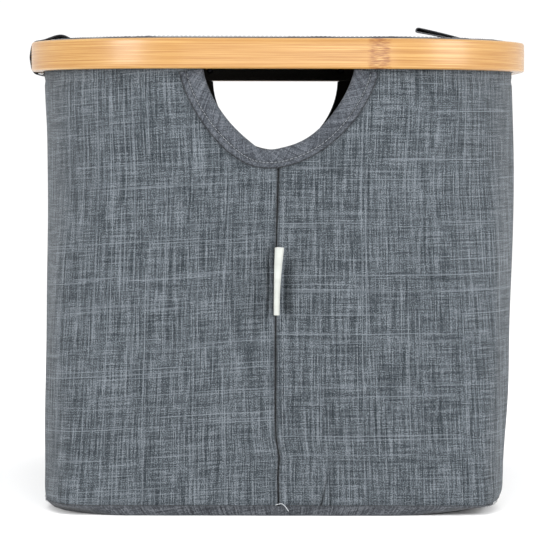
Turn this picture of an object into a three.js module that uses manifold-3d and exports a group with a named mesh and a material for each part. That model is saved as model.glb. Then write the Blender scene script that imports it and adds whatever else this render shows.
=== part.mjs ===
// Laundry hamper with a hinged lid. A fabric bag hangs inside a hoop of bent bamboo, four rods in
// the corners of the bag hold the hoop up, and a fabric-covered board closes the mouth. Two straps
// wrapped round the hoop are the lid's hinge. Millimetres, +Z up, origin on the floor under the middle.
// The short side with the label faces -Y, and the lid hinges on the long side at -X.
import * as THREE from "three";
import { mergeVertices } from "three/addons/utils/BufferGeometryUtils.js";
import Module from "manifold-3d";

const wasm = await Module();
wasm.setup();

// ---- Driving dimensions ------------------------------------------------------------------------

const HEIGHT = 375; // floor to the top of the hoop
const HALF_WIDTH = 202; // hoop's outer outline, along X
const HALF_LENGTH = 240; // hoop's outer outline, along Y
const HOOP_CORNER = 128; // corner radius of the outer outline at the hoop
const BASE_CORNER = 54; // and at the base, whose corners are squarer
const CORNER_STEPS = 9;
const ROUND_SIDES = 10; // of rods, caps and screws

const AIR = 0.3; // between pieces that touch
const FABRIC = 1.2; // outer fabric
const SEAM = 0.2; // half the gap between the two halves of the bag
const LINING = 0.8;
const STRAP = 1.0; // hinge strap webbing

const HOOP = { thickness: 10, height: 25, edge: 2 };
const SCARF_SLOPE = 0.12;
const HOOP_BOTTOM = HEIGHT - HOOP.height;

// Everything inside the hoop is placed by its inset, the distance in from the hoop's outer outline.
const SHELL_INSET = HOOP.thickness + AIR;
const SLEEVE_INSET = SHELL_INSET + FABRIC + AIR;
const FRAME = { thickness: 3.5, bottom: 351.7, top: 368.7, edge: 0.8 };
const FRAME_INSET = SLEEVE_INSET + LINING + AIR;
const SLEEVE_INNER = FRAME_INSET + FRAME.thickness + AIR + LINING;
const HEM_TOP = FRAME.top + AIR + LINING;
const HEM_BOTTOM = HOOP_BOTTOM + AIR;

// Hand hole in each short side: a scoop that hangs from the hoop. Its side leaves the hoop towards
// the shoulder and comes level at the bottom from the sole, as half widths and depths below the hoop.
const HOLE = { halfWidth: 60.2, shoulder: 56, shoulderDrop: 24.2, sole: 32, drop: 62.2, steps: 14 };
const HOLE_REACH = 70; // how deep a hole is cut, enough for every layer of the wall
const FACING = { width: 13, thickness: 0.9 };

const BASE = { strip: 6.5, inset: 18.5, board: 4, boardInset: 24.5, boardCorner: 90 };
const FLOOR = { bottom: FABRIC + AIR + BASE.board + AIR, inset: BASE.inset + FABRIC + 0.5, turn: 7.5 };

const ROD = { radius: 2, sleeve: 3.8, bore: 2.4, cap: 3, capBevel: 0.8, capLength: 9, capEnd: 2 };
const SCREW = { radius: 1.5, head: 3.4, headHeight: 1.9, bite: 6.5, point: 3, hole: 1.9, z: 360 };

const LID = { gap: 3.5, board: 2.5, cover: 0.6, binding: 0.5, bindingWidth: 10, bottom: HEM_TOP + AIR };

// A strap's path: its bends, its bulge on the hoop's outer face, and where its loose fold
// leaves the hoop, crests and lands on the lid, all as distances in from the hoop's outer face.
const HINGE_STRAP = {
  width: 40,
  centre: 78,
  innerBend: 1.6,
  outerBend: 2.4,
  bulge: 2.6,
  leaves: 7,
  crest: 20,
  crestHeight: 380.3,
  lands: 34,
  sewn: 18,
};

// Screws through each long side, two of them under the straps, and through each short side.
const LONG_SIDE_SCREWS = [-HINGE_STRAP.centre, 0, HINGE_STRAP.centre];
const SHORT_SIDE_SCREWS = [-62, 62];

const PULL_TAB = {
  root: 176,
  length: 55,
  width: 30,
  layer: 1,
  rise: 12.7,
  rootHalf: 1.1,
  tipHalf: 2.9,
  pinch: 0.15,
  sewn: 6,
};
const LABEL = { low: 154, high: 208.5, inset: SHELL_INSET + 3, reach: 17, lean: 6, thickness: 1.2 };

// ---- Materials ---------------------------------------------------------------------------------

const finish = (color, roughness, metalness = 0) =>
  new THREE.MeshStandardMaterial({ color, roughness, metalness });
const BAMBOO = finish(0xe8bd82, 0.42);
const LINEN = finish(0x6b7379, 0.9);
const BLACK_CLOTH = finish(0x1a1918, 0.95);
const WEBBING = finish(0x2b2a30, 0.9);
const WHITE_RIBBON = finish(0xe9ebe8, 0.7);
const GREYBOARD = finish(0x8c8172, 0.95);
const STEEL = finish(0xb9bcc0, 0.3, 1);
const ROD_COAT = finish(0x2a2c2f, 0.45);
const CAP_PLASTIC = finish(0x17181a, 0.55);

const hamper = new THREE.Group();

function add(name, geometry, material) {
  const mesh = new THREE.Mesh(geometry, material);
  mesh.name = name;
  hamper.add(mesh);
  return mesh;
}

// ---- Solids: joining and cutting ---------------------------------------------------------------

function solid(geometry) {
  const bare = geometry.clone();
  bare.deleteAttribute("normal");
  bare.deleteAttribute("uv");
  const merged = mergeVertices(bare, 1e-4);
  return new wasm.Manifold(
    new wasm.Mesh({
      numProp: 3,
      vertProperties: new Float32Array(merged.attributes.position.array),
      triVerts: new Uint32Array(merged.index.array),
    }),
  );
}

function surface(body) {
  const mesh = body.getMesh();
  const geometry = new THREE.BufferGeometry();
  geometry.setAttribute("position", new THREE.BufferAttribute(mesh.vertProperties, 3));
  geometry.setIndex(new THREE.BufferAttribute(mesh.triVerts, 1));
  return geometry;
}

function cut(geometry, cutters) {
  let body = solid(geometry);
  for (const cutter of cutters) body = body.subtract(solid(cutter));
  return surface(body);
}

const keep = (geometry, region) => surface(solid(geometry).intersect(solid(region)));

function box(x0, x1, y0, y1, z0, z1) {
  const geometry = new THREE.BoxGeometry(x1 - x0, y1 - y0, z1 - z0);
  return geometry.translate((x0 + x1) / 2, (y0 + y1) / 2, (z0 + z1) / 2);
}

// A closed [radius, height] profile turned about its own upright axis, +Y.
function turned(profile) {
  const points = profile.map(([radius, height]) => new THREE.Vector2(radius, height));
  return new THREE.LatheGeometry(points, ROUND_SIDES);
}

function closedSurface(positions, triangles) {
  const geometry = new THREE.BufferGeometry();
  geometry.setAttribute("position", new THREE.Float32BufferAttribute(positions, 3));
  geometry.setIndex(triangles);
  return geometry;
}

// ---- Solids: shapes carried round the hamper's plan --------------------------------------------

// The outer outline's corner radius at a height: the bag turns from the base's corners to the hoop's.
function cornerRadius(z) {
  const rise = THREE.MathUtils.clamp(z / HOOP_BOTTOM, 0, 1);
  return THREE.MathUtils.lerp(BASE_CORNER, HOOP_CORNER, rise);
}

// The rounded rectangle at an inset and a height, anticlockwise from +X.
function outline(inset, z, corner = cornerRadius(z)) {
  const radius = corner - inset;
  const points = [];
  for (let quarter = 0; quarter < 4; quarter++) {
    const sideX = quarter === 0 || quarter === 3 ? 1 : -1;
    const sideY = quarter < 2 ? 1 : -1;
    for (let step = 0; step <= CORNER_STEPS; step++) {
      const angle = (quarter + step / CORNER_STEPS) * (Math.PI / 2);
      points.push([
        sideX * (HALF_WIDTH - corner) + radius * Math.cos(angle),
        sideY * (HALF_LENGTH - corner) + radius * Math.sin(angle),
        z,
      ]);
    }
  }
  return points;
}

// A closed section of [inset, z] points carried once round the plan.
// The section runs up its outer side and down its inner side.
function ring(section) {
  const positions = section.flatMap(([inset, z]) => outline(inset, z).flat());
  const around = 4 * (CORNER_STEPS + 1);
  const triangles = [];
  for (let i = 0; i < section.length; i++) {
    const next = (i + 1) % section.length;
    for (let j = 0; j < around; j++) {
      const k = (j + 1) % around;
      const [a, b, c, d] = [i * around + j, i * around + k, next * around + k, next * around + j];
      triangles.push(a, b, c, a, c, d);
    }
  }
  return closedSurface(positions, triangles);
}

// A solid stack of plan outlines, from the lowest [inset, z] to the highest. A level may also give
// the outer outline's corner radius, where it isn't the hamper's own.
function block(levels) {
  const positions = levels.flatMap(([inset, z, corner]) => outline(inset, z, corner).flat());
  const around = 4 * (CORNER_STEPS + 1);
  const bottom = levels.length * around;
  const top = bottom + 1;
  positions.push(0, 0, levels[0][1], 0, 0, levels.at(-1)[1]);
  const triangles = [];
  for (let j = 0; j < around; j++) {
    const k = (j + 1) % around;
    for (let i = 0; i < levels.length - 1; i++) {
      const [a, b] = [i * around + j, i * around + k];
      triangles.push(a, b, b + around, a, b + around, a + around);
    }
    const last = (levels.length - 1) * around;
    triangles.push(bottom, k, j, top, last + j, last + k);
  }
  return closedSurface(positions, triangles);
}

// A strip's section with rounded edges, as [inset, z] points for ring().
function stripSection(inset, thickness, low, high, edge, steps = 3) {
  const points = [];
  const corners = [
    [inset + edge, low + edge, 270],
    [inset + edge, high - edge, 180],
    [inset + thickness - edge, high - edge, 90],
    [inset + thickness - edge, low + edge, 360],
  ];
  for (const [x, z, start] of corners)
    for (let step = 0; step <= steps; step++) {
      const angle = THREE.MathUtils.degToRad(start - (90 * step) / steps);
      points.push([x + edge * Math.cos(angle), z + edge * Math.sin(angle)]);
    }
  return points;
}

// ---- Solids: ribbons and scoops ----------------------------------------------------------------

// A band of even thickness along a curve in the XY plane, as wide as its width along Z.
function ribbon(curve, divisions, thickness, width) {
  const positions = [];
  const triangles = [];
  for (let i = 0; i <= divisions; i++) {
    const at = curve.getPointAt(i / divisions);
    const along = curve.getTangentAt(i / divisions);
    const side = new THREE.Vector2(-along.y, along.x).multiplyScalar(thickness / 2);
    const left = at.clone().add(side);
    const right = at.clone().sub(side);
    positions.push(left.x, left.y, 0, right.x, right.y, 0, right.x, right.y, width, left.x, left.y, width);
  }
  for (let i = 0; i < divisions; i++)
    for (let corner = 0; corner < 4; corner++) {
      const a = 4 * i + corner;
      const b = 4 * i + ((corner + 1) % 4);
      triangles.push(a, a + 4, b + 4, a, b + 4, b);
    }
  const end = 4 * divisions;
  triangles.push(0, 1, 2, 0, 2, 3, end, end + 2, end + 1, end, end + 3, end + 2);
  return closedSurface(positions, triangles);
}

// Turns a piece drawn in XY and extruded along Z so that it stands in XZ and is centred on y.
function stand(geometry, width, y) {
  return geometry.rotateX(Math.PI / 2).translate(0, y + width / 2, 0);
}

// The hand hole's outline moved out by an offset. It is widest at the hoop, narrows to a soft round
// bottom, and runs straight up from the hoop's lower edge to its top.
function scoop(offset, top) {
  const { halfWidth, shoulder, shoulderDrop, sole, drop, steps } = HOLE;
  const side = new THREE.CubicBezierCurve(
    new THREE.Vector2(-halfWidth, HOOP_BOTTOM),
    new THREE.Vector2(-shoulder, HOOP_BOTTOM - shoulderDrop),
    new THREE.Vector2(-sole, HOOP_BOTTOM - drop),
    new THREE.Vector2(0, HOOP_BOTTOM - drop),
  );
  const left = [];
  for (let i = 0; i <= steps; i++) {
    const { x, y } = side.getPoint(i / steps);
    const along = side.getTangent(i / steps);
    left.push(new THREE.Vector2(x + offset * along.y, y - offset * along.x));
  }
  if (top > left[0].y) left.unshift(new THREE.Vector2(left[0].x, top));
  const right = left.slice(0, -1).map(({ x, y }) => new THREE.Vector2(-x, y));
  return new THREE.Shape([...left, ...right.reverse()]);
}

// A scoop as a solid block, centred on one short side's wall.
function scoopBlock(offset, top, y, depth) {
  const geometry = new THREE.ExtrudeGeometry(scoop(offset, top), { depth, bevelEnabled: false });
  return stand(geometry, depth, y);
}

// Blocks that open both hand holes through whatever they cross.
const handHoles = (top) =>
  [-1, 1].map((side) => scoopBlock(0, top, side * HALF_LENGTH, HOLE_REACH));

// ---- Screws' places ----------------------------------------------------------------------------

// Each place is on the hem's inner face, with the angle that turns +X to point out through the hoop.
const screwPlaces = [];
for (const side of [-1, 1]) {
  const x = side * (HALF_WIDTH - SLEEVE_INNER);
  for (const y of LONG_SIDE_SCREWS) screwPlaces.push({ x, y, turn: side > 0 ? 0 : Math.PI });
  const shortY = side * (HALF_LENGTH - SLEEVE_INNER);
  for (const x2 of SHORT_SIDE_SCREWS) screwPlaces.push({ x: x2, y: shortY, turn: (side * Math.PI) / 2 });
}

// The length of a screw's path from the hem's inner face to its tip in the hoop.
const SCREW_LENGTH = SLEEVE_INNER - HOOP.thickness + SCREW.bite;

function screwHole({ x, y, turn }) {
  const length = SCREW_LENGTH + 2 * AIR;
  const hole = new THREE.CylinderGeometry(SCREW.hole, SCREW.hole, length, ROUND_SIDES);
  hole.rotateZ(-Math.PI / 2).translate(length / 2 - AIR, 0, 0);
  return hole.rotateZ(turn).translate(x, y, SCREW.z);
}
const screwHoles = screwPlaces.map(screwHole);

// ---- Hoop --------------------------------------------------------------------------------------

// Bent bamboo strip, let in on its inner face where the hinge straps pass. Its ends meet in a long
// scarf on the long side at +X, which shows outside as a fine groove.
function hoop() {
  const strip = ring(stripSection(0, HOOP.thickness, HOOP_BOTTOM, HEIGHT, HOOP.edge));
  const letIns = [-1, 1].map((side) => {
    const y = side * HINGE_STRAP.centre;
    const half = HINGE_STRAP.width / 2 + 2 * AIR;
    const inner = HOOP.thickness - HALF_WIDTH;
    return box(inner - STRAP - AIR, inner + 1, y - half, y + half, HOOP_BOTTOM - 1, HEM_TOP);
  });
  const scarf = box(-AIR, AIR, -HOOP.height / 2, HOOP.height / 2, HOOP_BOTTOM - 1, HEIGHT + 1);
  scarf.rotateZ(SCARF_SLOPE).translate(HALF_WIDTH, 0, 0);
  return cut(strip, [...letIns, ...screwHoles, scarf]);
}
add("rim_hoop", hoop(), BAMBOO);

// ---- Hem: the strip frame in its black sleeve, which clamps the bag to the hoop ------------------

const frameStrip = stripSection(FRAME_INSET, FRAME.thickness, FRAME.bottom, FRAME.top, FRAME.edge, 2);
add("hem_frame", cut(ring(frameStrip), screwHoles), GREYBOARD);

// The sleeve is a channel over the frame, open at the bottom, with its top edges folded round.
function hemSleeve() {
  const fold = 0.6;
  const section = [
    [SLEEVE_INSET, HEM_BOTTOM],
    [SLEEVE_INSET, HEM_TOP - fold],
    [SLEEVE_INSET + fold, HEM_TOP],
    [SLEEVE_INNER - fold, HEM_TOP],
    [SLEEVE_INNER, HEM_TOP - fold],
    [SLEEVE_INNER, HEM_BOTTOM],
    [SLEEVE_INNER - LINING, HEM_BOTTOM],
    [SLEEVE_INNER - LINING, HEM_TOP - LINING],
    [SLEEVE_INSET + LINING, HEM_TOP - LINING],
    [SLEEVE_INSET + LINING, HEM_BOTTOM],
  ];
  return cut(ring(section), screwHoles);
}
add("hem_sleeve", hemSleeve(), BLACK_CLOTH);

function screw() {
  const { radius, head, headHeight, point } = SCREW;
  const profile = [
    [0, -AIR - headHeight],
    [head * 0.55, -AIR - headHeight * 0.9],
    [head * 0.9, -AIR - headHeight * 0.5],
    [head, -AIR],
    [radius, -AIR],
    [radius, SCREW_LENGTH - point - AIR],
    [0, SCREW_LENGTH - AIR],
  ];
  return turned(profile).rotateZ(-Math.PI / 2);
}
screwPlaces.forEach(({ x, y, turn }, i) => {
  const mesh = add(`hem_screw_${String(i + 1).padStart(2, "0")}`, screw(), STEEL);
  mesh.rotation.z = turn;
  mesh.position.set(x, y, SCREW.z);
});

// ---- Bag: two outer halves seamed up the middle of each short side -------------------------------

// The wall's outer face as [inset, z]: it hangs straight from the hoop, draws in towards the base
// and rolls under at its seam.
const WALL = [
  [SHELL_INSET, HEM_TOP],
  [SHELL_INSET, HOOP_BOTTOM],
  [SHELL_INSET + 0.3, 280],
  [SHELL_INSET + 2.4, 200],
  [SHELL_INSET + 4.6, 100],
  [SHELL_INSET + 6.6, 45],
  [SHELL_INSET + 7, 20],
  [SHELL_INSET + 7.6, 11],
  [SHELL_INSET + 8.4, BASE.strip + AIR],
];

function bagShell() {
  const outer = [...WALL].reverse();
  const inner = WALL.map(([inset, z]) => [inset + FABRIC, z]);
  const slot = LABEL.thickness / 2 + AIR;
  const labelSlot = box(-slot, slot, -HALF_LENGTH, 0, LABEL.low - AIR, LABEL.high + AIR);
  return cut(ring([...outer, ...inner]), [...handHoles(HOOP_BOTTOM), labelSlot, ...screwHoles]);
}
const shell = bagShell();
const half = (from, to) => keep(shell, box(from, to, -HALF_LENGTH, HALF_LENGTH, 0, HEIGHT));
add("shell_left", half(-HALF_WIDTH, -SEAM), LINEN);
add("shell_right", half(SEAM, HALF_WIDTH), LINEN);

// A turned-back band edges each hand hole on the outside, up to the hoop.
["front", "back"].forEach((name, i) => {
  const side = i === 0 ? -1 : 1;
  const y = side * (HALF_LENGTH - SHELL_INSET + AIR + FACING.thickness / 2);
  const band = scoopBlock(FACING.width, HOOP_BOTTOM - AIR, y, FACING.thickness);
  add(`hole_facing_${name}`, cut(band, handHoles(HOOP_BOTTOM + 1)), LINEN);
});

// A blank folded ribbon caught in the front seam, leaning to one side.
function label() {
  const { lean, reach } = LABEL;
  const wall = LABEL.inset - HALF_LENGTH;
  const edge = new THREE.CubicBezierCurve(
    new THREE.Vector2(0, wall + FABRIC / 2),
    new THREE.Vector2(0, wall - 0.35 * reach),
    new THREE.Vector2(0.6 * lean, wall - 0.55 * reach),
    new THREE.Vector2(lean, wall - reach),
  );
  return ribbon(edge, 8, LABEL.thickness, LABEL.high - LABEL.low).translate(0, 0, LABEL.low);
}
add("side_label", label(), WHITE_RIBBON);

// ---- Lining: a black liner inside the shell, with its own floor ----------------------------------

// Its wall follows the shell's down to the base, and stops just under the hem.
function lining() {
  const gap = FABRIC + AIR;
  const wall = WALL.slice(2, -1).reverse();
  const outer = [
    [FLOOR.inset, FLOOR.bottom],
    [FLOOR.inset, FLOOR.turn],
    ...wall.map(([inset, z]) => [inset + gap, z]),
    [SHELL_INSET + gap, HOOP_BOTTOM - AIR],
  ];
  const inner = outer.map(([inset, z]) => [inset + LINING, z]);
  inner[0][1] += LINING;
  inner.at(-1)[1] += 1;
  return cut(block(outer), [block(inner), ...handHoles(HOOP_BOTTOM + 1)]);
}
add("lining", lining(), BLACK_CLOTH);

// ---- Base: a stiff board in a shallow tray of outer fabric ----------------------------------------

const { inset, strip } = BASE;
const tray = block([[inset + FABRIC, 0], [inset, FABRIC], [inset, strip]]);
const trayHollow = block([[inset + FABRIC, FABRIC], [inset + FABRIC, strip + 1]]);
add("base_panel", cut(tray, [trayHollow]), LINEN);

// A flat sheet with square edges. The base board's corners are rounder than the tray's.
const sheet = (edge, z, thickness, corner) =>
  block([[edge, z, corner], [edge, z + thickness, corner]]);
add("base_board", sheet(BASE.boardInset, FABRIC + AIR, BASE.board, BASE.boardCorner), GREYBOARD);

// ---- Corner rods, each in a sewn sleeve with a cap at both ends -----------------------------------

// A rod stands in the middle of its corner, leaning with the lining.
const ROD_FOOT = FLOOR.bottom + LINING + AIR;
const ROD_TOP = HEM_BOTTOM - 2 * AIR;
function cornerPoint(sideX, sideY, z) {
  const lean = THREE.MathUtils.lerp(FLOOR.inset + 0.4, SLEEVE_INSET, z / HOOP_BOTTOM);
  const corner = cornerRadius(z);
  const reach = (corner - lean - LINING - AIR - ROD.sleeve) * Math.SQRT1_2;
  const x = sideX * (HALF_WIDTH - corner + reach);
  const y = sideY * (HALF_LENGTH - corner + reach);
  return new THREE.Vector3(x, y, z);
}

// A lathed piece along a rod, from one height to another on its leaning axis.
function alongRod(mesh, low, high) {
  mesh.position.copy(low);
  mesh.quaternion.setFromUnitVectors(new THREE.Vector3(0, 1, 0), high.clone().sub(low).normalize());
}

const CORNERS = [
  ["front_left", -1, -1],
  ["front_right", 1, -1],
  ["back_right", 1, 1],
  ["back_left", -1, 1],
];
for (const [name, sideX, sideY] of CORNERS) {
  const foot = cornerPoint(sideX, sideY, ROD_FOOT);
  const top = cornerPoint(sideX, sideY, ROD_TOP);
  const length = foot.distanceTo(top);
  const { radius, sleeve, bore, cap, capBevel, capLength, capEnd } = ROD;

  const rodEnd = capEnd + AIR;
  const rod = [[0, rodEnd], [radius, rodEnd], [radius, length - rodEnd], [0, length - rodEnd]];
  alongRod(add(`rod_${name}`, turned(rod), ROD_COAT), foot, top);

  const tubeEnd = capLength + cap;
  const tube = [
    [bore, tubeEnd],
    [sleeve, tubeEnd],
    [sleeve, length - tubeEnd],
    [bore, length - tubeEnd],
    [bore, tubeEnd],
  ];
  alongRod(add(`rod_sleeve_${name}`, turned(tube), BLACK_CLOTH), foot, top);

  // A cup with a bevelled end, its bore clear of the rod.
  const cup = [
    [0, 0],
    [cap - capBevel, 0],
    [cap, capBevel],
    [cap, capLength],
    [radius + AIR, capLength],
    [radius + AIR, capEnd],
    [0, capEnd],
  ];
  alongRod(add(`rod_foot_${name}`, turned(cup), CAP_PLASTIC), foot, top);
  alongRod(add(`rod_tip_${name}`, turned(cup), CAP_PLASTIC), top, foot);
}

// ---- Lid: a board between two covers, bound round its edge ----------------------------------------

const LID_EDGE = HOOP.thickness + LID.gap;
const coreInset = LID_EDGE + LID.binding + AIR;
const underZ = LID.bottom + LID.binding + AIR;
const boardZ = underZ + LID.cover + AIR;
const topZ = boardZ + LID.board + AIR;
const LID_TOP = topZ + LID.cover + AIR + LID.binding;
add("lid_board", sheet(coreInset, boardZ, LID.board), GREYBOARD);
add("lid_top_cover", sheet(coreInset, topZ, LID.cover), LINEN);
add("lid_under_cover", sheet(coreInset, underZ, LID.cover), BLACK_CLOTH);

// Bias binding folded over the lid's edge.
function lidBinding() {
  const { binding, bottom } = LID;
  const inner = LID_EDGE + LID.bindingWidth;
  return ring([
    [LID_EDGE + binding, bottom],
    [LID_EDGE, bottom + binding],
    [LID_EDGE, LID_TOP - binding],
    [LID_EDGE + binding, LID_TOP],
    [inner, LID_TOP],
    [inner, LID_TOP - binding],
    [LID_EDGE + binding, LID_TOP - binding],
    [LID_EDGE + binding, bottom + binding],
    [inner, bottom + binding],
    [inner, bottom],
  ]);
}
add("lid_binding", lidBinding(), WEBBING);

// ---- Hinge straps --------------------------------------------------------------------------------

// Each strap is clamped inside the hoop, wraps under and up its outer face, crosses its top,
// rises in a loose fold over the gap and is sewn down on the lid. In the path, x is the distance
// in from the hoop's outer face.
function strapPath() {
  const { innerBend, outerBend, bulge, leaves, crest, crestHeight, lands, sewn } = HINGE_STRAP;
  const half = STRAP / 2;
  const inside = HOOP.thickness - half;
  const under = HOOP_BOTTOM - half - 2 * AIR;
  const outside = -half - AIR;
  const over = HEIGHT + half + AIR;
  const onLid = topZ + LID.cover + AIR + half;
  const point = (x, z) => new THREE.Vector2(x, z);
  const path = new THREE.CurvePath();
  const line = (a, b) => path.add(new THREE.LineCurve(a, b));
  const bend = (a, corner, b) => path.add(new THREE.QuadraticBezierCurve(a, corner, b));

  line(point(inside, HEM_TOP - 2), point(inside, under + innerBend));
  bend(point(inside, under + innerBend), point(inside, under), point(inside - innerBend, under));
  line(point(inside - innerBend, under), point(outside + outerBend, under));
  const [low, high] = [point(outside, under + outerBend), point(outside, over - outerBend)];
  bend(point(outside + outerBend, under), point(outside, under), low);
  bend(low, point(outside - bulge, (under + over) / 2), high);
  bend(high, point(outside, over), point(outside + outerBend, over));
  line(point(outside + outerBend, over), point(leaves, over));

  // The fold swings up to its crest and down again in two level-ended curves.
  const [start, top, end] = [point(leaves, over), point(crest, crestHeight), point(lands, onLid)];
  const swing = (a, b) => {
    const middle = (a.x + b.x) / 2;
    path.add(new THREE.CubicBezierCurve(a, point(middle, a.y), point(middle, b.y), b));
  };
  swing(start, top);
  swing(top, end);
  line(end, point(lands + sewn, onLid));
  return path;
}
["front", "back"].forEach((name, i) => {
  const y = (i === 0 ? -1 : 1) * HINGE_STRAP.centre;
  const strap = stand(ribbon(strapPath(), 48, STRAP, HINGE_STRAP.width), HINGE_STRAP.width, y);
  strap.translate(-HALF_WIDTH, 0, 0);
  add(`hinge_strap_${name}`, cut(strap, screwHoles), WEBBING);
});

// ---- Pull tab: a folded loop of webbing sewn to the lid beside the binding -------------------------

// Drawn with its root at the origin and its fold at -length, as two layers that part towards the fold.
function pullTab() {
  const { length, width, layer, rootHalf, tipHalf, pinch, sewn } = PULL_TAB;
  const loop = (from, to, root, tip) => {
    const shape = new THREE.Path();
    shape.absarc(from, 0, root, -Math.PI / 2, Math.PI / 2, false);
    shape.absarc(to, 0, tip, Math.PI / 2, (3 * Math.PI) / 2, false);
    shape.closePath();
    return shape.getPoints(6);
  };
  const shape = new THREE.Shape(loop(0, tipHalf - length, rootHalf, tipHalf));
  const hollow = loop(-sewn, tipHalf - length, pinch, tipHalf - layer);
  shape.holes.push(new THREE.Path(hollow));
  return stand(new THREE.ExtrudeGeometry(shape, { depth: width, bevelEnabled: false }), width, 0);
}
const tab = add("pull_tab", pullTab(), WEBBING);
tab.rotation.y = THREE.MathUtils.degToRad(PULL_TAB.rise);
tab.position.set(PULL_TAB.root, 0, topZ + LID.cover + AIR + PULL_TAB.rootHalf);

export default hamper;
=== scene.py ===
import math

import bpy
import numpy as np
from mathutils import Matrix, Vector


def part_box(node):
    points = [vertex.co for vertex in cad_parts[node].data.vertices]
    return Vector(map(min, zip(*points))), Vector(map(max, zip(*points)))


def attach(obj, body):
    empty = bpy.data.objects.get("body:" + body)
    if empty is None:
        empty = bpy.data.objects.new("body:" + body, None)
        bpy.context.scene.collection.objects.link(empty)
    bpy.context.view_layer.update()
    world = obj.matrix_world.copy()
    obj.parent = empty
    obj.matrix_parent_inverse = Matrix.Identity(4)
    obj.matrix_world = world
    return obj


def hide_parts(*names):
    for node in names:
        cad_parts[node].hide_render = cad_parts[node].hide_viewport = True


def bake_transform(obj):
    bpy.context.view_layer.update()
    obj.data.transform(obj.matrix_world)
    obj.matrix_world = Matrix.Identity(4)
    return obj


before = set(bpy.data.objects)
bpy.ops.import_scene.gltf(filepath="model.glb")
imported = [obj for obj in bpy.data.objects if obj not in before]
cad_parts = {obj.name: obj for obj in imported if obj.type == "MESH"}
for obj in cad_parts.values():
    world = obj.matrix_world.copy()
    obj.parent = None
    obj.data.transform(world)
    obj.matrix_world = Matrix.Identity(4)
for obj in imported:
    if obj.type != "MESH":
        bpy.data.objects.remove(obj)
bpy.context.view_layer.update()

# The looks of a laundry hamper: a linen-look bag hung in a bent bamboo hoop, with a strap-hinged lid.
# Metres, +Z up, origin on the floor under the middle; the short side with the label faces -Y.

# ---- Sizes -------------------------------------------------------------------------------------

MM = 0.001
hoop_low, hoop_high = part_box("rim_hoop")
HALF_WIDTH, HALF_LENGTH, HEIGHT = hoop_high
HOOP_BOTTOM = hoop_low.z
HOOP_THICKNESS = 10 * MM
HOOP_EDGE = 2 * MM
HOOP_CORNER = 128 * MM
BASE_CORNER = 54 * MM
BASE_INSET = 18 * MM  # a middling inset of the base, for reading the way out round its corners
FABRIC = 1.2 * MM
LINING = 0.8 * MM
AIR = 0.3 * MM
HEM_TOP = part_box("hem_sleeve")[1].z
BASE_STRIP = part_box("base_panel")[1].z + 1.4 * MM
HEM_LINE = HOOP_BOTTOM - 7.5 * MM

# The bag wall's outer face at each height: its inset from the hoop's outer outline on the left side,
# on the right side and on the two short sides, in millimetres. It hangs a little askew.
WALL = np.array(
    [
        [6.8, 16.2, 22.6, 8.4],
        [11, 15.7, 21.9, 8.4],
        [20, 15.2, 20.7, 8.6],
        [45, 15.5, 18.6, 9.0],
        [73, 15.3, 16.3, 9.5],
        [100, 15.5, 14.8, 9.9],
        [150, 15.3, 13.3, 10.4],
        [200, 14.6, 11.8, 10.6],
        [240, 13.9, 10.3, 10.6],
        [280, 12.7, 9.0, 10.5],
        [310, 12.1, 9.3, 10.4],
        [330, 11.0, 9.9, 10.3],
        [350, 10.3, 10.3, 10.3],
    ]
) * MM

SHORT_SIDES = (("front", False), ("back", True))

# Hand holes: half an outline as a cubic curve in (sideways, height), from the hoop to its bottom. The
# one at the front is dragged aside and down at its bottom, and the one at the back has worn wider.
HOLE_HALF = 60.2 * MM
HOLE_DROP = 62.2 * MM
HOLE_LAG = {False: (1.4 * MM, 5.4 * MM), True: (0, 0)}  # an even drag, and more at the very bottom
HOLE_CURVES = {
    False: np.array([[60.2, 350], [56, 325.8], [27.5, 286.4], [0, 286.4]]) * MM,
    True: np.array([[60.2, 350], [59.5, 321.5], [37, 284.3], [0, 284.3]]) * MM,
}

# ---- Meshes from grids -------------------------------------------------------------------------


def unit(vectors):
    """Vectors at a length of 1."""
    return vectors / np.linalg.norm(vectors, axis=-1, keepdims=True)


def run_along(line):
    """How far along a line of points each point is."""
    return np.concatenate([[0], np.cumsum(np.linalg.norm(np.diff(line, axis=0), axis=1))])


def spread(*parts):
    """Arrays of x, y and z, or of u and v, spread over one grid: its points, or its places on the cloth."""
    return np.stack(np.broadcast_arrays(*parts), -1)


def grid_faces(rows, columns, close_rows=False, close_columns=False):
    """Four-sided faces of a grid whose points run row by row; a closed way joins its ends."""
    r, c = np.meshgrid(
        np.arange(rows - (not close_rows)), np.arange(columns - (not close_columns)), indexing="ij"
    )
    r, c = r.ravel(), c.ravel()
    r2, c2 = (r + 1) % rows, (c + 1) % columns
    return np.stack([r * columns + c, r * columns + c2, r2 * columns + c2, r2 * columns + c], 1)


def signed_volume(points, faces):
    """Six times the volume that the faces hold: positive when they point outwards."""
    total = 0.0
    for group in faces:
        a = points[group[:, 0]]
        for k in range(1, group.shape[1] - 1):
            total += np.einsum("ij,ij->", a, np.cross(points[group[:, k]], points[group[:, k + 1]]))
    return total


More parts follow.
